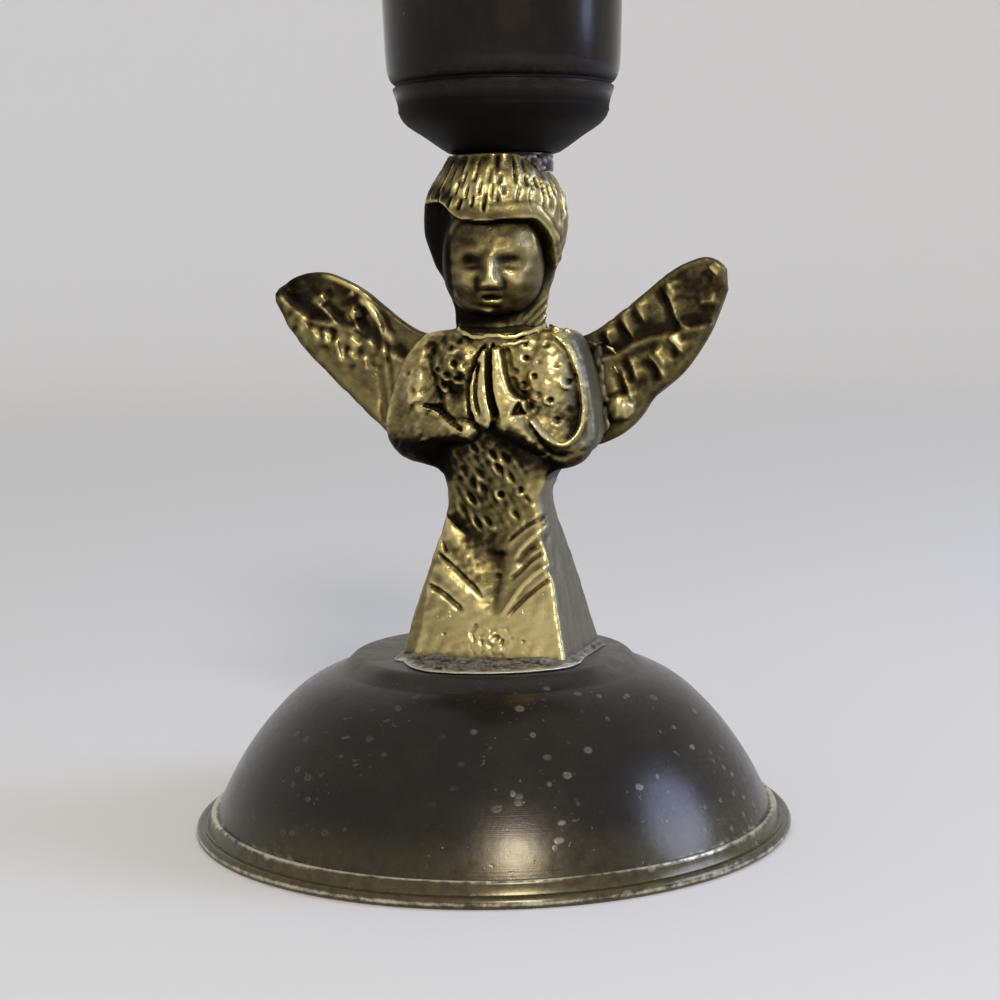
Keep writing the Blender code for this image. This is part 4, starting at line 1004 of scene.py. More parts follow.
def head_form(x, y, h):
    """The neck, the bowl of hair with its rolled hem and chisel cuts, and the face below it."""
    x, y = head_frame(x, y)
    up = (h - NECK) / (CROWN - NECK)
    lower, upper = ease(0.05, 0.60, up), ease(0.62, 1.04, up) ** 1.6
    width = 10.4 + 6.0 * lower - 6.0 * upper
    depth = 8.5 + 6.1 * lower - 4.2 * upper
    own = hair_place(x, h)
    hair = (np.hypot(own / width * 2, y / depth * 2) - 1.0) * depth / 2
    angle = np.arctan2(own, -y)
    below = hem_of_hair(angle) - h
    in_front = ease(0.0, 0.45, -y / 7.3) + 0.0 * h
    rolled = in_front * (0.25 + 0.75 * ease(-0.95, -0.4, angle))
    hair = hair + (1.9 + 0.5 * ease(0.7, 1.2, angle)) * in_front * ease(-0.16, 0.3, below)
    hair = hair - (0.22 * bump_at(below, -1.1, 1.2) - 0.12 * bump_at(below, -2.2, 0.45)) * rolled
    across = angle * HAIR_RADIUS
    deepest = settings_of("angel").hair_cut / MM
    for cut_angle, level, tall, wide, deep in hair_cuts():
        if h.min() < level + 2.2 and h.max() > level - 2.2:
            place = across - cut_angle * HAIR_RADIUS - 0.14 * (h - level)
            mark = bump_at(place, 0.0, wide) - 0.35 * bump_at(place, 1.9 * wide, wide)
            hair = hair + deepest * deep * mark * np.exp(-(((h - level) / tall) ** 4))
    locks = 0.06 * uneven(across, h * 0.35, 1.1, 21) * ease(31.0, 32.5, h) + 0.06 * uneven(across, h, 2.2, 22)
    hair = hair - locks * ease(3.1, 2.6, np.abs(angle))
    lobe = ease(1.0, 1.3, angle) * ease(1.9, 1.6, angle) * ease(23.5, 24.5, h) * ease(30.0, 28.5, h)
    hair = hair + 0.10 * lobe * uneven(across, h, 1.4, 23)
    hair = np.maximum(hair, h - CROWN + 1.9 * ease(2.6, 5.4, own) * ease(2.0, -1.0, y))
    flat = (np.abs(x / 5.75) ** 2.5 + np.abs((h - FACE_MIDDLE - 0.35) / 6.3) ** 2.5) ** 0.4
    face = (np.hypot(flat, (y + 1.75) / 5.85) - 1.0) * 5.6
    shown = np.maximum(ease(1.5, -1.5, x), ease(0.0, 2.0, x) * ease(24.0, 26.5, h))
    rim = 0.2 * bump_at(flat, 0.9, 0.07) * shown
    relief = (face_relief(x, h) + rim + 0.04 * uneven(x, h, 1.1, 24)) * ease(0.8, 3.4, -y)
    scratches = 0.09 * np.sin(9.0 * (0.7 * h - 0.7 * x)) * ease(2.0, 4.0, x) * ease(21.5, 19.5, h)
    return blend_min(hair + scratches, face - relief, 0.25)


# Radius of the seat that is left in her hair for the stub, and the gap under it, in millimetres
SEAT_RADIUS = 5.85
SEAT_GAP = 0.3


def angel_form(x, y, h):
    """The whole casting, planed flat behind, open for the stub on top."""
    body = head = np.float32(FAR) + 0.0 * (x + y + h)
    if h.min() < NECK + 3.0:
        across, width, depth, corner = gown_place(x, y, h)
        body = block(across, y, width, depth, corner)
        bevel = -0.62 * (across + width / 2) - 0.78 * (y + depth / 2) + 1.25 * ease(-3.0, HEM, h)
        body = blend_max(body, bevel, 0.2)
        if h.min() < 2.0:
            front = ease(0.3, 0.75, -y / (depth / 2)) * ease(1.8, 0.0, h) * ease(0.1, 1.3, across + width / 2)
            body = body - gown_relief(x, h) * front
        if h.max() > -3.0:
            body = blend_min(body, arms_form(x, y, h), 0.35)
            body = body - arms_relief(x, h) * ease(0.8, 2.6, -y) * ease(1.5, 3.5, h)
        punch = settings_of("angel").punch / MM
        body = body - punch_relief(x, h, punch) * ease(1.2, 2.8, -y)
        body = body - 0.04 * uneven(y, h, 1.9, 31) * ease(3.5, 5.0, np.abs(x))
        planed = y - BACK - 4.0 * ease(1.4, -0.7, h)
        body = np.maximum(body, planed) + HIDDEN * ease(0.0, 4.8, h - NECK + 0.9)
        body = np.minimum(body, collar_form(x, y, h))
    if h.max() > NECK - 4.0:
        head = head_form(x, y, h) + HIDDEN * ease(0.0, -3.8, h - NECK)
    form = np.maximum(blend_min(body, head, 0.9), np.maximum(HEM - h, h - CROWN))
    off_x, off_y = (STUB_X - ANGEL_X) / MM, (STUB_Y - ANGEL_Y) / MM
    seat_x, seat_y = ANGEL_COS * off_x + ANGEL_SIN * off_y, ANGEL_COS * off_y - ANGEL_SIN * off_x
    seat_low = (STUB_LOW - WAIST_Z) / MM - SEAT_GAP
    seat = np.maximum(np.hypot(x - seat_x, y - seat_y) - SEAT_RADIUS, seat_low - h)
    return np.maximum(form, -seat)


# Painted highlights on her front, above nought, and painted shade, below it: amount, then middle and half
# width across and up
FRONT_LIGHT_AND_SHADE = (
    (0.28, 0.4, 2.4, -17.8, 1.6), (0.30, -9.0, 1.6, 11.0, 3.0),
    (0.42, 1.9, 1.2, 11.5, 3.6), (-0.42, -4.2, 3.0, 12.6, 4.4),
)
# Painted shade under the lowest pleats at her left and right
SIDE_SHADE = ((-0.30, -5.2, 1.3, -13.5, 0.8), (-0.26, 5.6, 1.3, -12.9, 0.8))
# Painted highlights on cheek and chin, then on the hair
FACE_HIGHLIGHTS = ((0.28, 3.6, 1.2, 22.8, 1.6), (0.2, 0.6, 1.4, 20.6, 1.2))
HAIR_HIGHLIGHTS = ((0.34, 2.6, 4.0, 33.2, 2.2), (0.26, 6.4, 1.8, 31.0, 2.4))


def angel_polish_and_light(x, y, h, normal):
    """Where hands rub the casting bright or a highlight is painted, above nought, and where it stays dark or
    shade is painted, below it.
    """
    front, ahead = np.clip(-normal[:, 1], 0.0, 1.0), y < 0.0
    across, width, depth, _ = gown_place(x, y, h)
    polish_and_painted_light = 0.08 + gown_polish_and_light(x, h, front, ahead) + sleeve_polish_and_light(x, y, h, normal, front)
    # Painted highlights and shade on her front, and painted shade under the lowest pleats
    polish_and_painted_light += front * dabs(FRONT_LIGHT_AND_SHADE, x, h) + dabs(SIDE_SHADE, x, h)
    # Painted shade on the bevelled facet at her left
    polish_and_painted_light -= 0.34 * ease(2.6, 1.6, across + width / 2) * ease(-6.0, -9.0, h) * front
    # A painted highlight along the gown's front right corner
    corner = np.hypot(across - width / 2 + 0.15, y + depth / 2 - 0.15)
    polish_and_painted_light += 1.3 * bump_at(corner, 0.0, 0.42) * (h < 3.0)
    # Painted shade on the left of her neck and under her chin
    polish_and_painted_light -= 0.25 * ease(14.5, 17.0, h) * ease(19.0, 17.5, h) * ease(1.5, -1.0, x)
    polish_and_painted_light -= 0.6 * ease(17.6, 18.2, h) * ease(19.9, 18.9, h) * ease(4.0, 1.0, x)
    return polish_and_painted_light + head_polish_and_light(x, y, h, front)


def gown_polish_and_light(x, h, front, ahead):
    """The part of gown and bodice, with painted highlights and painted shade."""
    v_left, above, inner = bodice_edge(x, h)
    soft = 0.08 + 1.1 * ease(-4.8, -7.4, h)
    bodice = ease(-soft, soft, inner) * ease(-10.6, -8.8, h) * (h < 6.5) * ahead
    # Painted highlights on the front of the lower gown and down its right side; darker along the hem
    polish_and_painted_light = (0.34 * ease(-7.0, -15.0, h) + 0.14 * ease(-3.0, -5.0, h)) * front * (1.0 - bodice)
    polish_and_painted_light += 0.55 * bump_at(x, 6.5, 0.9) * ease(-12.0, -15.5, h) - 0.6 * ease(-18.9, -19.9, h)
    polish_and_painted_light += 0.2 * bump_at(x, 4.5, 3.5) * ease(-12.0, -16.0, h)
    # Painted shade on her left
    polish_and_painted_light -= 0.16 * ease(-3.0, -7.0, x) * ease(-4.0, -8.0, h)
    # A painted highlight below the V's left edge, painted shade above it
    near_v = bump_at(v_left, 0.0, 0.45) * ease(-6.6, -5.0, h) * (h < -3.4) * (x < 1.0)
    polish_and_painted_light += np.where(above, -0.5, 0.9) * near_v
    # Darker over the bodice, with painted shade beside the V and on her left
    polish_and_painted_light -= 0.3 * bodice * np.exp(-v_left / 1.3) * ease(-9.0, -6.5, h) * (h < -2.0)
    polish_and_painted_light -= bodice * (0.50 - 0.36 * ease(-1.5, 5.5, x)) * ease(7.0, 5.0, h)
    # Painted shade in the middle valley and in the hollow on her right
    polish_and_painted_light -= 0.5 * bump_at(x, 0.9, 1.5) * ease(-15.8, -12.6, h) * ease(-5.4, -8.0, h)
    polish_and_painted_light -= 0.22 * furrow(RIGHT_HOLLOW, x, h, 0.8) * front
    mottled = furrow(((-3.6, -6.4), (-1.9, -9.0), (-0.6, -12.6)), x, h, 1.5)
    return polish_and_painted_light - mottled * front * (0.46 + 0.34 * uneven(x, h, 0.8, 15))


def sleeve_polish_and_light(x, y, h, normal, front):
    """The part of arms, sleeves and hands, with painted highlights and painted shade."""
    ahead = y < 0.0
    # Painted shade under the left elbow, below the forearms, and on her left below the arm
    polish_and_painted_light = -1.0 * ease(5.4, 3.8, h) * ease(-0.6, 0.6, h) * ease(-4.0, -5.2, x) * ahead
    polish_and_painted_light -= 0.75 * furrow(((-0.5, 7.2), (1.2, 5.6), (3.4, 3.1), (7.4, 1.3), (9.5, 1.0)), x, h, 1.25) * ahead
    polish_and_painted_light -= 0.3 * ease(-0.2, 0.6, h) * ease(6.5, 4.0, h) * ease(-2.0, -4.5, x) * front
    cuff, side, _ = to_curve(CUFF, x, h, 20)
    # A painted highlight under the left cuff's slit
    polish_and_painted_light += 0.9 * bump_at(cuff, 0.4, 0.25) * (side < 0) * front * (h > 5.0)
    # Painted shade past the right sleeve's rim; painted highlights on the right sleeve, the left forearm and
    # along the rim
    polish_and_painted_light -= 0.5 * ease(8.8, 9.6, x) * ease(2.0, 5.0, h) * ahead * (to_curve(RIM, x, h, 44)[0] > 0.4)
    polish_and_painted_light += 0.42 * bump_at(x, 6.4, 3.0) * bump_at(h, 12.2, 4.8) * front * (h > 2.0)
    polish_and_painted_light += 0.14 * bump_at(x, -7.0, 4.0) * bump_at(h, 6.6, 1.3) * (normal[:, 2] > -0.2)
    polish_and_painted_light += bump_at(to_curve(RIM[:9], x, h, 36)[0], 0.0, 0.3) * (y < -1.0)
    # Painted shade on down-facing surfaces and on her left
    polish_and_painted_light -= (0.8 - 0.5 * ease(18.0, 19.5, h)) * ease(-0.05, -0.6, normal[:, 2]) * (h > 0.0)
    polish_and_painted_light -= 0.12 * front * (h > 6.0) * (h < 17.0) * ease(0.0, -2.0, x)
    return polish_and_painted_light + 0.8 * bump_at(np.hypot(x - 8.2, h - 17.0), 0.0, 1.3) * (y < -1.8) * (h > 16.2)


def head_polish_and_light(x, y, h, front):
    """The part of face and hair, with painted highlights and painted shade."""
    on_face = ease(19.0, 20.5, h) * ease(30.0, 28.5, h) * front
    # Painted shade on the brow and on her left, painted highlights on cheek and chin
    brow = 0.34 * bump_at(h, 27.4, 1.7) * ease(4.6, 3.0, x)
    polish_and_painted_light = on_face * (dabs(FACE_HIGHLIGHTS, x, h) - brow - 0.1 * ease(0.0, -3.0, x))
    head_x, head_y = head_frame(x, y)
    own = hair_place(head_x, h)
    over = h - hem_of_hair(np.arctan2(own, -head_y))
    # Painted shade below the hair's hem, darkest at the sides of the head
    shade_below = ease(0.2, -0.4, over) * ease(17.4, 18.2, h)
    sides = ease(-4.6, -5.3, own) * ease(2.5, -0.5, head_y)
    sides = sides + 0.5 * ease(5.0, 5.8, own) * ease(0.0, -2.0, head_y)
    polish_and_painted_light -= shade_below * (0.36 + sides) * ease(4.5, 1.0, head_y)
    hair = (1.0 - shade_below) * ease(23.0, 24.0, h)
    # Painted highlights on the hair; painted shade on her left and at the crown, under the cup
    polish_and_painted_light += hair * front * dabs(HAIR_HIGHLIGHTS, x, h)
    polish_and_painted_light -= hair * (0.10 + 0.26 * ease(-1.0, -5.0, x) + 0.7 * ease(34.2, 36.2, h))
    return polish_and_painted_light - hair * ease(2.4, 1.5, over) * (0.34 + 0.28 * ease(5.2, 3.0, x)) * (head_y < 0.0)


def angel_filed(x, y, h, normal):
    """Her sides, which were filed flat after casting."""
    sides = ease(0.55, 0.85, np.abs(normal[:, 0])) * (y < BACK + 3.4)
    outside = ease(0.3, 0.7, to_shape(RIM, x, h, 60)) * ease(-4.6, -3.0, y) * (x > 8.6) * (h > 4.0)
    sides = np.maximum(sides, outside) * (h < NECK - 1.0) * (np.abs(x) > 4.0)
    back = 0.4 * ease(0.5, 0.9, normal[:, 1]) * (h < NECK)
    return sides + back + 0.5 * bump_at(x, 6.4, 1.8) * bump_at(h, 34.6, 1.7)


def build_angel():
    step = settings_of("angel").grid / MM
    low, high = (-14.0, -10.2, HEM - 2 * step), (14.0, 8.2, CROWN + 2 * step)
    points, quads = net(sample(angel_form, low, high, step), low, step)
    mesh = mesh_of("angel_figure", in_world(points), quads)
    normal = own_normals(mesh)
    paint_hollows(mesh, points, quads, normal, (10, 7.5), (90, 2.1))
    x, y, h = points.T
    paint(mesh, "polish_and_painted_light", angel_polish_and_light(x, y, h, normal))
    paint(mesh, "filed", angel_filed(x, y, h, normal))
    add_piece("cast_angel", mesh, brass_finish("antique_brass", 0.0), "antique_brass", "angel_figure")


# The wings

# How far both wings sit off her middle, in millimetres
WING_SHIFT = -1.2
BRAZE_BEADS = 46


class Wing:
    """A leaf-shaped wing, whose drawn points are out from her middle and up from her waist in millimetres."""

    def outline(self):
        return np.concatenate([curve_through(self.upper, 40), curve_through(self.lower, 40)[::-1]])

    def rim(self, x):
        """Height of the raised upper rim."""
        return 0.25

    def grooves(self, x, across, h):
        """Depth of the grooves that cross the leaf near its root."""
        return 0.0

    def joined(self, leaf, x, y, h):
        """The leaf with whatever is joined to it."""
        return leaf

    def relief(self, x, h, flat):
        """Vein, hand-cut feather edges that swell on one side and drop on the other, and an uneven ground."""
        scale = settings_of("wings").feather / FEATHER
        away, side, share = to_line(curve_through(self.vein, 24), x, h)
        relief = 0.24 * bump_at(away, 0.0, 0.55) - 0.40 * bump_at(away, 1.0, 0.7) * (side > 0)
        for high, line in self.ridges:
            near, over, along = to_line(curve_through(line, 10), x, h)
            fade = ease(0.0, 0.3, along) * ease(1.0, 0.7, along)
            drop = np.exp(-near / 0.24) - 0.45 * bump_at(near, 0.85, 0.5)
            relief = relief + scale * high * fade * np.where(over > 0, np.exp(-near / 0.95), drop)
        above = (side > 0) * (share > 0.0) * (0.6 + 0.4 * uneven(x, h, 5.0, self.seed))
        relief = relief + bump_at(flat, -0.25, 0.3) * above * self.rim(x)
        relief = relief - 0.22 * ease(-0.5, -2.6, flat)
        return relief + 0.06 * uneven(x, h, 3.0, self.seed + 1) + 0.02 * uneven(x, h, 1.0, self.seed + 2)

    def form(self, x, y, h):
        thick = settings_of("wings").thickness / MM
        flat = to_outline(self.outline(), x, h)
        behind = 0.06 * uneven(x, h, 2.8, self.seed + 3) + 0.12 * bump_at(flat, -0.6, 0.6)
        across = y - (BACK + 0.65 + thick / 2)
        leaf = slab(flat, across, thick / 2, 0.35)
        leaf = leaf - self.relief(x, h, flat) * ease(0.2, -0.5, across) * ease(10.0, 12.0, x)
        leaf = leaf - behind * ease(-0.2, 0.5, across) + self.grooves(x, across, h)
        return self.joined(np.maximum(leaf, BACK + 0.25 - y), x, y, h)

    def build(self):
        step = settings_of("wings").grid / MM
        low, high = (3.0, BACK - 2.6, 3.0), (28.2, BACK + 4.0, 26.0)
        points, quads = net(sample(self.form, low, high, step), low, step)
        x, y, h = points.T.copy()
        points[:, 0] = self.side * points[:, 0] + WING_SHIFT
        quads = quads[:, :: self.side]
        mesh = mesh_of(self.name, in_world(points), quads)
        flat, normal = to_outline(self.outline(), x, h), own_normals(mesh)
        paint_hollows(mesh, points, quads, normal, (8, 6.0), (60, 1.8), 1.0 - ease(-0.9, -0.4, flat))
        behind = 0.05 * uneven(x, h, 3.4, self.seed + 4) - 0.05
        polish_and_painted_light = np.where(normal[:, 1] < 0.3, self.polish_and_painted_light(x, h, flat), behind)
        braze = ease(13.9, 13.3, x) * ease(BACK + 0.5, BACK - 0.1, y) * (self.side > 0)
        paint(mesh, "polish_and_painted_light", polish_and_painted_light - 0.85 * braze)
        paint(mesh, "filed", 0.35 * ease(0.4, 0.9, np.abs(normal[:, 0])) + 0.8 * braze)
        return mesh


class LeftWing(Wing):
    name, side, seed = "left_wing", -1, 61
    upper = ((3.6, 16.2), (9.2, 16.7), (13.1, 19.3), (17.1, 22.3), (21.5, 23.9), (25, 23.3), (27.2, 22))
    lower = ((3.6, 4.0), (12.0, 3.6), (15.8, 6.9), (19.0, 10.0), (22.6, 13.6), (25.6, 17.3), (27.3, 20.6))
    vein = (
        (11.0, 13.2), (13.9, 14.6), (15.0, 15.2), (17.8, 17.0),
        (19.9, 17.6), (23.5, 18.5), (25.5, 20.0), (27.0, 21.4),
    )
    inner = ((16.8, 21.0), (15.0, 19.4), (14.2, 18.1), (13.8, 17.0), (12.4, 15.2))
    ridges = (
        (0.60, inner),
        (0.55, ((22.2, 20.8), (20.8, 19.2), (19.0, 17.5))),
        (0.62, ((17.4, 20.5), (17.2, 18.0), (16.2, 16.3))),
        (0.50, ((21.6, 21.5), (20.7, 20.2))),
        (0.45, ((17.0, 19.6), (16.5, 18.3))),
        (0.30, ((25.9, 22.4), (25.0, 21.2))),
        (0.30, ((17.7, 21.8), (17.3, 20.9))),
        (0.34, ((23.0, 17.6), (21.6, 15.6))),
        (0.40, ((21.4, 17.4), (20.6, 15.2))),
        (0.46, ((19.7, 16.6), (19.4, 14.6), (18.8, 12.8))),
        (0.52, ((18.2, 16.5), (16.3, 14.9))),
        (0.34, ((18.4, 14.8), (17.0, 13.2))),
        (0.30, ((16.3, 14.2), (15.7, 12.0))),
        (0.26, ((24.1, 18.8), (23.0, 16.6))),
    )
    # Painted glints: out from her middle, up from her waist and size
    painted_glints = ((22.1, 20.7, 0.5), (18.0, 18.6, 0.55), (18.5, 15.9, 0.7), (17.4, 15.2, 0.5), (23.9, 17.2, 0.4))

    def rim(self, x):
        return 0.45 * ease(24.5, 22.0, x)

    def grooves(self, x, across, h):
        cuts = sum(bump_at(x - 0.1 * (h - 10.0), at, wide) for at, wide in ((12.9, 0.32), (14.0, 0.42)))
        return 0.6 * cuts * ease(18.5, 15.5, h) * ease(4.5, 6.5, h) * ease(0.0, -0.6, across)

    def polish_and_painted_light(self, x, h, flat):
        away, side, _ = to_line(curve_through(self.vein, 24), x, h)
        below = ease(-0.3, 0.3, np.where(side > 0, -away, away))
        mottled = 0.30 * uneven(x, h, 1.3, 51) * ease(6.5, 1.5, away)
        calm = ease(17.2, 15.6, x) * ease(13.0, 10.5, h)
        polish_and_painted_light = -0.42 + below * (0.36 + mottled * (1.0 - calm))
        polish_and_painted_light = polish_and_painted_light + 0.10 * (1.0 - below) * uneven(x, h, 2.4, 53)
        # Painted highlight along the inner feather ridge
        polish_and_painted_light = polish_and_painted_light + 1.3 * furrow(self.inner, x, h, 0.4) - 0.12 * bump_at(away, 0.0, 0.5)
        polish_and_painted_light = polish_and_painted_light - 0.35 * bump_at(x, 24.6, 2.2) * bump_at(h, 22.4, 1.8) + 0.15 * ease(15.2, 13.2, x)
        for at_x, at_h, size in self.painted_glints:
            polish_and_painted_light = polish_and_painted_light + 0.8 * bump_at(np.hypot(x - at_x, h - at_h), 0.0, size)
        # Painted highlight along part of the upper rim
        rim = bump_at(flat, -0.35, 0.3) * (side > 0) * ease(21.6, 19.8, x) * ease(14.8, 16.2, x)
        return polish_and_painted_light + 1.5 * rim - 0.2 * bump_at(flat, -0.2, 0.35) * (side < 0)


class RightWing(Wing):
    name, side, seed = "right_wing", 1, 71
    upper = ((3.6, 16.2), (11, 16.3), (15.5, 19.2), (19.5, 22.4), (22.8, 24.4), (25.4, 24.8), (27, 23.6))
    lower = ((3.6, 4.0), (13.0, 3.8), (16.2, 5.7), (18.9, 9.2), (22.0, 11.7), (25.0, 16.0), (27.2, 21.2))
    vein = (
        (11.0, 13.0), (13.3, 13.6), (15.0, 14.2), (16.6, 15.2),
        (18.2, 15.7), (19.9, 16.0), (21.8, 16.6), (25.4, 17.2),
    )
    ridges = (
        (0.55, ((16.6, 20.2), (17.2, 18.8), (17.9, 17.4))),
        (0.62, ((14.7, 19.0), (15.6, 17.2), (16.6, 15.4))),
        (0.42, ((13.1, 17.1), (13.8, 14.5))),
        (0.42, ((20.2, 22.4), (21.1, 20.0))),
        (0.60, ((19.4, 22.2), (20.8, 20.0), (21.8, 17.4), (23.3, 16.6))),
        (0.60, ((25.0, 24.1), (26.2, 22.7))),
        (0.42, ((23.8, 19.8), (26.2, 20.0))),
        (0.50, ((15.7, 14.0), (17.0, 10.7))),
        (0.70, ((17.6, 14.2), (18.9, 13.0), (20.1, 11.0))),
        (0.80, ((20.2, 16.1), (21.2, 15.2), (22.2, 13.9))),
        (0.50, ((14.8, 12.7), (15.6, 10.3), (16.8, 8.0))),
        (0.40, ((18.6, 14.8), (20.2, 12.3))),
    )
    braze = (
        ((11.5, 2.9, 15.5), (12.2, 2.9, 15.2), (12.8, 3.2, 15.4)),
        ((13.4, 3.6, 14.9), (14.0, 3.7, 14.6), (14.4, 3.8, 14.1)),
        ((14.2, 3.9, 12.6), (14.6, 3.9, 11.9)),
    )

    def joined(self, leaf, x, y, h):
        """Adds a round casting boss low on the wing, and beads of braze between wing and shoulder."""
        boss = egg(x, y, h, (14.9, 4.0, 8.0), (1.6, 1.45, 1.55)) - 0.08 * uneven(x, h, 1.1, 41)
        form = blend_min(leaf, boss, 0.8)
        for run in self.braze:
            for start, end in zip(run, run[1:]):
                form = blend_min(form, limb(x, y, h, start, end, 0.2, 0.14), 0.3)
        draw = np.random.default_rng(BRAZE_SEED)
        for _ in range(BRAZE_BEADS):
            up = draw.uniform(5.2, 15.5)
            out = 12.5 + 0.5 * math.sin(up * 0.24) + draw.uniform(-0.4, 0.4)
            radius = draw.uniform(0.16, 0.4)
            near = np.abs(x[:, 0, 0] - out) < 1.4
            bead = np.sqrt((x[near] - out) ** 2 + (y - 3.5) ** 2 + 0.6 * (h - up) ** 2) - radius
            form[near] = blend_min(form[near], bead, 0.3)
        return form

    def polish_and_painted_light(self, x, h, flat):
        # Painted highlights on the boss, a glint, the tip, the root, a feather cut and the upper edge
        boss = bump_at(np.hypot(x - 14.9, h - 8.0), 0.0, 1.8)
        painted_glint = bump_at(np.hypot(x - 20.8, h - 15.5), 0.0, 0.8)
        tip = bump_at(np.hypot(x - 25.7, h - 23.4), 0.0, 1.0)
        root = ease(15.6, 14.2, x) * ease(7.5, 9.5, h) * ease(14.2, 12.6, h)
        cut = furrow(((17.5, 14.3), (18.9, 13.0), (20.2, 10.9)), x, h, 0.4)
        edge = bump_at(flat, -0.2, 0.35) * ease(15.5, 17.5, h) * ease(27.0, 24.0, x)
        polish_and_painted_light = -0.36 + 0.8 * boss + 1.1 * painted_glint + 0.6 * tip + 0.4 * root + 0.45 * cut + 0.2 * edge
        return polish_and_painted_light + 0.07 * uneven(x, h, 3.0, 52) - 0.1 * bump_at(x, 24.0, 2.6) * bump_at(h, 21.0, 2.6)


def build_wings():
    finish = brass_finish("dark_brass", 0.08)
    for wing in (LeftWing(), RightWing()):
        add_piece(wing.name + "_leaf", wing.build(), finish, "dark_brass", wing.name)


# The foot


def arc(x, z, radius, start, end, count):
    """Points of a round corner, at angles in degrees that count from straight up."""
    turns = np.radians(np.linspace(start, end, count))
    return [(x + radius * math.sin(a), z + radius * math.cos(a)) for a in turns]


def in_metres(profile, up=0.0):
    return [(r * MM, up + z * MM) for r, z in profile]


def foot_profile():
    """Platform, dome, bright ridge, groove and rolled lip, then the hollow inside up to the crown."""
    dome_radius, slope, rise = 32.5, math.radians(21.4), 2.5
    ball = dome_radius / math.cos(slope)
    centre = rise - ball * math.sin(slope)

    def dome(radius, reach, flat, soft):
        height = centre + np.sqrt(np.maximum(reach**2 - radius**2, 0.0))
        return float(blend_min(height, np.float64(flat), soft))

    ridge = [(32.62, 2.52), (32.85, 2.62), (33.12, 2.6), (33.32, 2.3), (33.5, 1.55)]
    lip = [(33.7, 1.2), (34.0, 1.16), (34.3, 1.28), (34.75, 1.2), (35.0, 0.75), (34.95, 0.3), (34.6, 0.0)]
    profile = [(0.0, 20.5), (13.0, 20.5), (14.0, 20.47)] + arc(15.2, 18.64, 1.8, 10, 52, 7)
    profile += [(radius, dome(radius, ball, 20.1, 5.0)) for radius in np.linspace(17.6, 32.5, 44)]
    profile += broken(ridge, 0.12) + broken(lip, 0.25, 5) + [(34.2, 0.0), (32.1, 0.0)]
    profile += [(radius, dome(radius, ball - 1.8, 17.1, 2.5)) for radius in np.linspace(30.7, 12.0, 26)]
    return in_metres(profile + [(9.3, 17.1), (2.3, 17.1), (2.3, 20.4), (0.0, 20.4)])


def build_foot():
    steps = settings_of("turned").foot_steps
    mesh = turned_mesh("base_dome", foot_profile(), steps)
    x, y, z = places_of(mesh)
    out, normal = np.hypot(x, y), normals_of(mesh)
    shown = (normal[:, 2] > -0.2) | (out > 33.0)
    # Ridge rubbed to brass, painted wider at left and right as a highlight; the lip's narrow bright line is a
    # painted highlight
    ridge = bump_at(out, 32.96, 0.33 + 0.12 * ease(14.0, 27.0, np.abs(x))) * (z > 2.15)
    lip = bump_at(z, 0.62, 0.3) * (out > 34.3) + 0.35 * bump_at(out, 34.4, 0.3) * (z > 1.0)
    paint(mesh, "wear_and_highlight", shown * (1.0 * ridge + 0.9 * lip + 0.2 * ease(31.6, 32.6, out) * (out < 33.2)))
    # Less of the brushed tone at the front of the platform: painted dark reflection
    front = ease(-8.5, -12.0, y) * ease(15.5, 11.5, np.abs(x + 1.0))
    top = ease(19.0, 15.5, out) * (z > 15.0) * (1.0 - 0.85 * front)
    paint(mesh, "brushed", shown * top)
    paint(mesh, "olive", shown * (0.8 * ease(33.0, 33.4, out) + 0.35 * ease(29.8, 32.4, out) * (out < 33.2)))
    paint(mesh, "inside", (normal[:, 2] < -0.15) & (out < 33.5))
    add_piece("blackened_foot", mesh, foot_finish(), "blackened_brass", "base_dome")


# The cup


def cup_profile():
    """Rim, slightly flared wall, groove, cove band, shoulder and bowl, then bore, floor and screw sink."""
    top, lip = (CUP_TOP - CUP_LOW) / MM, 0.8
    profile = [(13.2, top)] + arc(13.2, top - lip, lip, 15, 90, 7)
    profile += [(13.95, 22.0), (13.6, 17.4), (13.5, 14.6), (13.4, 11.8), (13.3, 10.0), (13.24, 9.5)]
    profile += [(13.15, 9.05), (13.02, 8.65), (12.85, 8.3), (12.66, 8.05)]
    profile += broken([(12.5, 7.92), (12.3, 7.8), (12.3, 7.5), (12.55, 7.38)], 0.1)
    profile += [(12.58, 7.2), (12.5, 6.9), (12.34, 6.45), (12.16, 5.95), (12.03, 5.4)]
    profile += broken([(11.98, 5.0), (12.02, 4.75), (11.88, 4.5), (11.75, 4.15)], 0.1)
    profile += [(11.45, 3.7), (11.0, 3.25), (10.3, 2.75), (9.4, 2.2), (8.65, 1.68), (8.0, 1.22), (7.3, 0.72)]
    profile += [(6.4, 0.15), (5.9, 0.0), (2.3, 0.0), (2.3, 2.4), (4.0, 2.4), (4.0, 4.9), (10.6, 4.9)]
    profile += [(11.0, 5.3), (11.0, top - 0.9), (11.15, top - 0.3), (11.5, top)]
    return in_metres(profile, CUP_LOW)


# Radius of the foot's flat platform, in millimetres
PLATFORM_RADIUS = 15.4


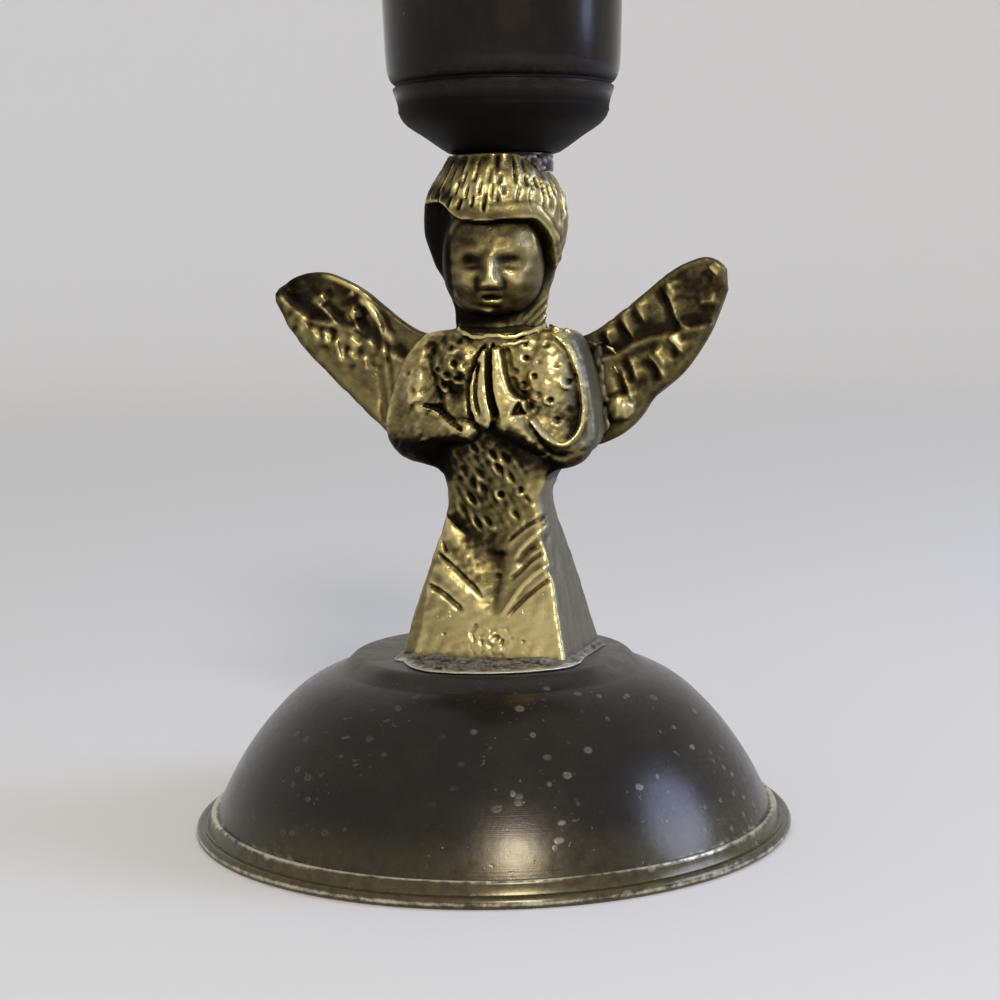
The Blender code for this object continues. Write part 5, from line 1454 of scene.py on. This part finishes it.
def solder_bed(x, y):
    """Distance to the hem, share of the way out to the worn edge, and distance to that edge."""
    hem = block(x / (1.0 + 0.05 * y / 7.0) + 0.85 * (x < 0), y, 19.8, 14.0, 0.8)
    world = in_world(np.stack([v.ravel() for v in np.broadcast_arrays(x, y, 0.0 * x)], axis=1)) / MM
    wx, wy = world[:, :2].T.reshape(2, *hem.shape)
    oval = (np.abs((wx - 0.3) / 10.5) ** 2.4 + np.abs((wy + 5.0) / 10.9) ** 2.4) ** (1 / 2.4)
    edge = np.minimum(np.maximum((oval - 1.0) * 10.6, np.hypot(wx, wy) - PLATFORM_RADIUS), hem - 0.7)
    return hem, np.clip(hem / np.maximum(hem - edge, 0.3), 0.0, 1.0), edge


def solder_grains():
    """Places and radii of the grains against the hem, in the angel's frame."""
    solder = settings_of("solder")
    draw = np.random.default_rng(GRAIN_SEED)
    grains = []
    for _ in range(solder.grains):
        at = draw.uniform(0.0, 2 * math.pi)
        cos, sin = math.cos(at), math.sin(at)
        spread = draw.uniform(0.0, 1.0) ** 1.5
        reach = min(9.9 / max(abs(cos), 1e-6), 7.0 / max(abs(sin), 1e-6)) + 0.1
        reach += spread * (0.7 + 3.4 * max(0.0, -sin) ** 3)
        radius = solder.bead / MM * draw.uniform(0.3, 1.15) * (1.0 - 0.5 * spread)
        x, y = reach * cos, reach * sin
        at_edge = solder_bed(np.array([x]), np.array([y]))[2][0]
        if at_edge <= -0.4 - radius and draw.uniform(0.0, 1.0) >= 0.3:
            h = HEM + draw.uniform(-0.15, 0.3) - 0.4 * radius - 0.2 * spread
            grains.append((x, y, h, radius))
    return grains


def stub_profile():
    """A short stem turned between cup and hair, with a fine groove."""
    low, top = STUB_LOW / MM, CUP_LOW / MM - 0.01
    side = [(5.6, top), (5.6, top - 0.55), (5.42, top - 0.7), (5.6, top - 0.85), (5.6, low)]
    return in_metres(broken([(2.3, top), *side, (2.3, low)], 0.16))


def build_cup():
    steps = settings_of("turned").cup_steps
    mesh = turned_mesh("candle_cup", cup_profile(), steps, CUP_X, CUP_Y)
    x, y, z = places_of(mesh)
    out = np.hypot(x - CUP_X / MM, y - CUP_Y / MM)
    up = z - CUP_LOW / MM
    inside = (out < 11.4) & (up > 4.7) | (out < 4.2) & (up > 0.3)
    wear_and_highlight = 0.5 * bump_at(up, 8.1, 0.3) + 0.5 * bump_at(up, 7.35, 0.25) + 0.6 * bump_at(up, 25.7, 0.4)
    paint(mesh, "wear_and_highlight", wear_and_highlight * ~inside)
    paint(mesh, "inside", inside)
    # Painted shade on the bowl's underside and in the groove by the bead
    paint(mesh, "shade_below", np.maximum(ease(6.4, 5.6, up), bump_at(up, 7.75, 0.75)) * ~inside)
    add_piece("black_cup", mesh, cup_finish("cup_black", (1.0, 1.0, 1.0)), "cup_black", "candle_cup")
    mesh = turned_mesh("cup_stub", stub_profile(), steps // 2, STUB_X, STUB_Y)
    for name in ("wear_and_highlight", "inside", "shade_below"):
        paint(mesh, name, np.zeros(len(mesh.vertices)))
    add_piece("cup_stem", mesh, cup_finish("stub_black", (1.5, 1.3, 1.75)), "cup_black", "cup_stub")


# The solder


def ball(x, y, z, middle_x, middle_y, middle_z, radius):
    return np.sqrt((x - middle_x) ** 2 + (y - middle_y) ** 2 + (z - middle_z) ** 2) - radius


def build_foot_solder():
    step = settings_of("solder").grid / MM
    grains = solder_grains()
    bottom = (FOOT_TOP - WAIST_Z) / MM + 0.02

    def form(x, y, h):
        hem, share, edge = (value[:, :, None] for value in solder_bed(x[:, :, 0], y[:, :, 0]))
        lumps = 0.20 * uneven(x, y, 1.5, 81) + 0.08 * uneven(x, y, 0.6, 82)
        top = bottom + 0.2 + 0.6 * (1.0 - share) ** 1.2 + lumps * ease(-0.6, -1.6, edge)
        bed = np.maximum(np.maximum(h - top, edge + 0.06 * uneven(x, y, 1.4, 83)), -hem - 0.5)
        for grain in grains:
            near_x, near_y = np.abs(x[:, 0, 0] - grain[0]) < 1.6, np.abs(y[0, :, 0] - grain[1]) < 1.6
            part = np.ix_(near_x, near_y, np.arange(h.shape[2]))
            bed[part] = blend_min(bed[part], ball(x[near_x], y[:, near_y], h, *grain), 0.15)
        return np.maximum(bed, bottom - h)

    low, high = (-13.4, -14.6, bottom - 2 * step), (13.4, 10.4, HEM + 1.6)
    points, quads = net(sample(form, low, high, step), low, step)
    mesh = mesh_of("foot_solder", in_world(points), quads)
    paint_hollows(mesh, points, quads, own_normals(mesh), (8, 7.0), (50, 2.0))
    x, y, _ = points.T
    edge = solder_bed(x, y)[2]
    # A bright band along the outer edge, only towards the front and widest there: scraped solder and a
    # painted highlight
    wide = 0.35 + 0.8 * ease(-5.0, -9.5, y)
    wear_and_highlight = ease(-wide, -0.2 * wide, edge + 0.3 * uneven(x, y, 1.2, 84)) * ease(0.0, -6.0, y - 0.25 * x)
    paint(mesh, "scraped_and_highlight", wear_and_highlight)
    return mesh


def build_cup_solder():
    """A run of solder on the stub's side, with a few grains round it."""
    step = 0.6 * settings_of("solder").grid / MM
    middle = np.mean(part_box("cup_solder"), axis=0) / MM
    grains = (
        (0.0, 0.3, 0.2, 0.62),
        (-0.8, 0.0, 0.6, 0.5),
        (-1.5, 0.1, 0.8, 0.34),
        (0.8, 0.6, 0.5, 0.45),
        (-0.3, -0.1, 0.8, 0.34),
        (0.3, 0.2, -0.5, 0.38),
        (1.3, 0.9, 0.8, 0.34),
        (-0.6, 0.2, -0.2, 0.3),
        (0.8, 0.5, -0.3, 0.28),
    )

    def form(x, y, z):
        whole = FAR + 0.0 * (x + y + z)
        for grain in grains:
            whole = blend_min(whole, ball(x, y, z, *grain), 0.22)
        return whole - 0.06 * uneven(x + y, z, 0.6, 91)

    low, high = (-2.6, -2.0, -2.2), (2.4, 2.4, 2.4)
    points, quads = net(sample(form, low, high, step), low, step)
    points = points + middle
    mesh = mesh_of("cup_solder", points * MM, quads)
    normal = normals_of(mesh)
    paint_hollows(mesh, points, quads, normal, (6, 9.0), (30, 3.0), more=0.5)
    # Brighter on upward faces: painted highlight
    paint(mesh, "scraped_and_highlight", 0.5 * ease(0.3, 0.9, normal[:, 2]))
    return mesh


def build_solder():
    finish = solder_finish()
    add_piece("solder_ring", build_foot_solder(), finish, "solder_grey", "foot_solder")
    add_piece("solder_run", build_cup_solder(), finish, "solder_grey", "cup_solder")


# The fasteners

# Facets round the stud, and round every other small turned piece
STUD_STEPS = 40
RING_STEPS = 96


def stud_profile(low, high):
    """Rings of a rod with pointed ends, which rise and fall along a screw thread."""
    radius, pitch, depth = 2.0 * MM, 0.8 * MM, 0.28 * MM
    turns = np.arange(STUD_STEPS) / STUD_STEPS
    rings = [(0.0, high)]
    for z in np.linspace(high, low, max(8, int((high - low) / pitch * 8))):
        ends = min(1.0, (z - low) / (0.35 * MM) + 0.75, (high - z) / (0.35 * MM) + 0.75)
        phase = ((z - low) / pitch + turns) % 1.0
        rings.append(((radius - depth * np.abs(2 * phase - 1.0)) * ends, z))
    return rings + [(0.0, low)]


def nut_profile(low, high):
    """Rings of a hexagon nut with chamfered corners on both faces, then its bore."""
    across, bore, chamfer = 7.0 * MM, 2.1 * MM, 0.35 * MM
    angles = 2 * math.pi * np.arange(RING_STEPS) / RING_STEPS
    side = across / 2 / np.cos((angles + math.pi / 6) % (math.pi / 3) - math.pi / 6)
    turned = np.minimum(side, 0.93 * across / math.sqrt(3))
    outer = [(turned, high), (side, high - chamfer), (side, low + chamfer), (turned, low)]
    return outer + [(bore, low), (bore, high)]


def washer_profile(low, high):
    bore, edge = 2.3 * MM, 6.0 * MM
    ring = broken([(bore, high), (edge, high), (edge, low), (bore, low)], 0.2 * MM)
    return ring + [(bore, (low + high) / 2)]


def screw_profile(low, high):
    """A round sink in the head, the head and the shank."""
    head, sink, sink_edge, edge, shank = high - 2.2 * MM, high - 0.7 * MM, 0.9 * MM, 3.7 * MM, 2.0 * MM
    body = [(sink_edge, high), (edge, high), (edge, head), (shank, head), (shank, low), (0.0, low)]
    return [(0.0, sink), (sink_edge, sink), (sink_edge, high)] + broken(body, 0.3 * MM)[1:]


def build_fasteners():
    finish = steel_finish()
    for piece, node, profile, steps, sharp in (
        ("threaded_stud", "foot_stud", stud_profile, STUD_STEPS, 50),
        ("plain_washer", "foot_washer", washer_profile, RING_STEPS, 38),
        ("hexagon_nut", "foot_nut", nut_profile, RING_STEPS, 20),
        ("cup_screw_head", "cup_screw", screw_profile, RING_STEPS, 38),
    ):
        x, y, low, high = box_of(node)
        add_piece(piece, turned_mesh(node, profile(low, high), steps, x, y, sharp), finish, "steel", node)


# Stage

CAMERA_PLACE = (0.00129, -0.23203, 0.06422)
CAMERA_TILT = math.pi / 2 - 0.112
CAMERA_ROLL = -0.0156
FOCAL_PIXELS = 1996.2
FRAME_PIXELS = 1000
SENSOR = 36.0


def build_camera():
    lens = bpy.data.cameras.new("camera")
    lens.sensor_width = SENSOR
    lens.lens = FOCAL_PIXELS / FRAME_PIXELS * SENSOR
    lens.clip_start = 0.01
    camera = new_object("camera", lens)
    camera.matrix_world = (
        Matrix.Translation(CAMERA_PLACE)
        @ Matrix.Rotation(CAMERA_TILT, 4, "X")
        @ Matrix.Rotation(CAMERA_ROLL, 4, "Z")
    )
    bpy.context.scene.camera = camera


def build_floor():
    """A round floor that sweeps up into a low wall all round, a little paler towards the wall."""
    stage = settings_of("stage")
    profile = [(reach, 0.0) for reach in (0.0, 0.15, 0.3, 0.45, 0.6, 0.75, 0.9)]
    profile += arc(0.9, 0.45, 0.45, 170, 90, 9) + [(1.36, 0.75)]
    mesh = turned_mesh("floor", profile, RING_STEPS)
    shader = Shader("floor_paper")
    out = shader.length(shader.place)
    far = tuple(min(0.94, 1.26 * c) for c in stage.floor)
    base = shader.mix((out + 0.02 * shader.noise(0.2)).rise(0.15, 1.2), stage.floor, far)
    mesh.materials.append(shader.finish(base_color=base, roughness=0.8, specular_ior_level=0.2))
    floor = new_object("floor", mesh)


def add_lamp(name, power, size, tint, place, target):
    lamp = bpy.data.lights.new(name, "AREA")
    lamp.energy = power
    lamp.color = tint
    lamp.shape = "DISK"
    lamp.size = size
    holder = new_object(name, lamp)
    forward = np.subtract(target, place)
    away = Matrix.Identity(3)
    away.col[2] = -forward / np.linalg.norm(forward)
    across = np.cross((0.0, 0.0, 1.0), away.col[2])
    away.col[0] = across / np.linalg.norm(across)
    away.col[1] = np.cross(away.col[2], away.col[0])
    holder.matrix_world = Matrix.Translation(place) @ away.to_4x4()
    holder.visible_camera = False


def build_lights():
    stage = settings_of("stage")
    add_lamp("key", stage.key, 0.18, (1.0, 0.94, 0.84), (0.114, -0.677, 0.463), (0.0, 0.0, 0.03))
    add_lamp("window", stage.fill, 0.38, (0.50, 0.61, 1.0), (0.704, -0.049, 0.312), (0.0, 0.0, 0.03))
    world = bpy.data.worlds.new("daylight")
    world.use_nodes = True
    sky = world.node_tree.nodes["Background"]
    sky.inputs["Color"].default_value = (1.0, 1.0, 1.0, 1.0)
    sky.inputs["Strength"].default_value = stage.daylight
    bpy.context.scene.world = world
    bpy.context.scene.view_settings.view_transform = "Standard"


# Operators


class CANDLESTICK_OT_angel(bpy.types.Operator):
    """Builds the cast angel"""

    bl_idname = "candlestick.angel"
    bl_label = "Cast Angel"

    def execute(self, context):
        build_angel()
        return {"FINISHED"}


class CANDLESTICK_OT_wings(bpy.types.Operator):
    """Builds the two wings that are brazed on behind"""

    bl_idname = "candlestick.wings"
    bl_label = "Wings"

    def execute(self, context):
        build_wings()
        return {"FINISHED"}


class CANDLESTICK_OT_foot(bpy.types.Operator):
    """Builds the turned and blackened foot"""

    bl_idname = "candlestick.foot"
    bl_label = "Foot"

    def execute(self, context):
        build_foot()
        return {"FINISHED"}


class CANDLESTICK_OT_cup(bpy.types.Operator):
    """Builds the candle cup and the stub under it"""

    bl_idname = "candlestick.cup"
    bl_label = "Cup and Stub"

    def execute(self, context):
        build_cup()
        return {"FINISHED"}


class CANDLESTICK_OT_solder(bpy.types.Operator):
    """Runs solder round the hem and on the stub"""

    bl_idname = "candlestick.solder"
    bl_label = "Solder"

    def execute(self, context):
        build_solder()
        return {"FINISHED"}


class CANDLESTICK_OT_fasteners(bpy.types.Operator):
    """Builds stud, washer, nut and screw"""

    bl_idname = "candlestick.fasteners"
    bl_label = "Fasteners"

    def execute(self, context):
        build_fasteners()
        return {"FINISHED"}


class CANDLESTICK_OT_stage(bpy.types.Operator):
    """Sets up the camera, floor and lamps"""

    bl_idname = "candlestick.stage"
    bl_label = "Stage"

    def execute(self, context):
        build_camera()
        build_floor()
        build_lights()
        return {"FINISHED"}


class CANDLESTICK_PT_panel(bpy.types.Panel):
    """Lists the candlestick's pieces and their settings"""

    bl_idname = "CANDLESTICK_PT_panel"
    bl_label = "Candlestick"
    bl_space_type = "VIEW_3D"
    bl_region_type = "UI"
    bl_category = "Candlestick"

    def draw(self, context):
        for operator in OPERATORS:
            self.layout.operator(operator.bl_idname)
        for name, group in GROUPS.items():
            box = self.layout.box()
            for setting in group.__annotations__:
                box.prop(getattr(context.scene, name), setting)


GROUPS = {
    "candlestick_angel": CandlestickAngel,
    "candlestick_wings": CandlestickWings,
    "candlestick_turned": CandlestickTurned,
    "candlestick_solder": CandlestickSolder,
    "candlestick_finish": CandlestickFinish,
    "candlestick_stage": CandlestickStage,
}
OPERATORS = (
    CANDLESTICK_OT_stage,
    CANDLESTICK_OT_foot,
    CANDLESTICK_OT_solder,
    CANDLESTICK_OT_angel,
    CANDLESTICK_OT_wings,
    CANDLESTICK_OT_cup,
    CANDLESTICK_OT_fasteners,
)


def register():
    for kind in (*GROUPS.values(), *OPERATORS, CANDLESTICK_PT_panel):
        bpy.utils.register_class(kind)
    for name, group in GROUPS.items():
        setattr(bpy.types.Scene, name, PointerProperty(type=group))


def unregister():
    for name in GROUPS:
        delattr(bpy.types.Scene, name)
    for kind in reversed((*GROUPS.values(), *OPERATORS, CANDLESTICK_PT_panel)):
        bpy.utils.unregister_class(kind)


def main():
    register()
    bpy.ops.candlestick.stage()
    bpy.ops.candlestick.foot()
    bpy.ops.candlestick.solder()
    bpy.ops.candlestick.angel()
    bpy.ops.candlestick.wings()
    bpy.ops.candlestick.cup()
    bpy.ops.candlestick.fasteners()


if __name__ == "__main__":
    main()
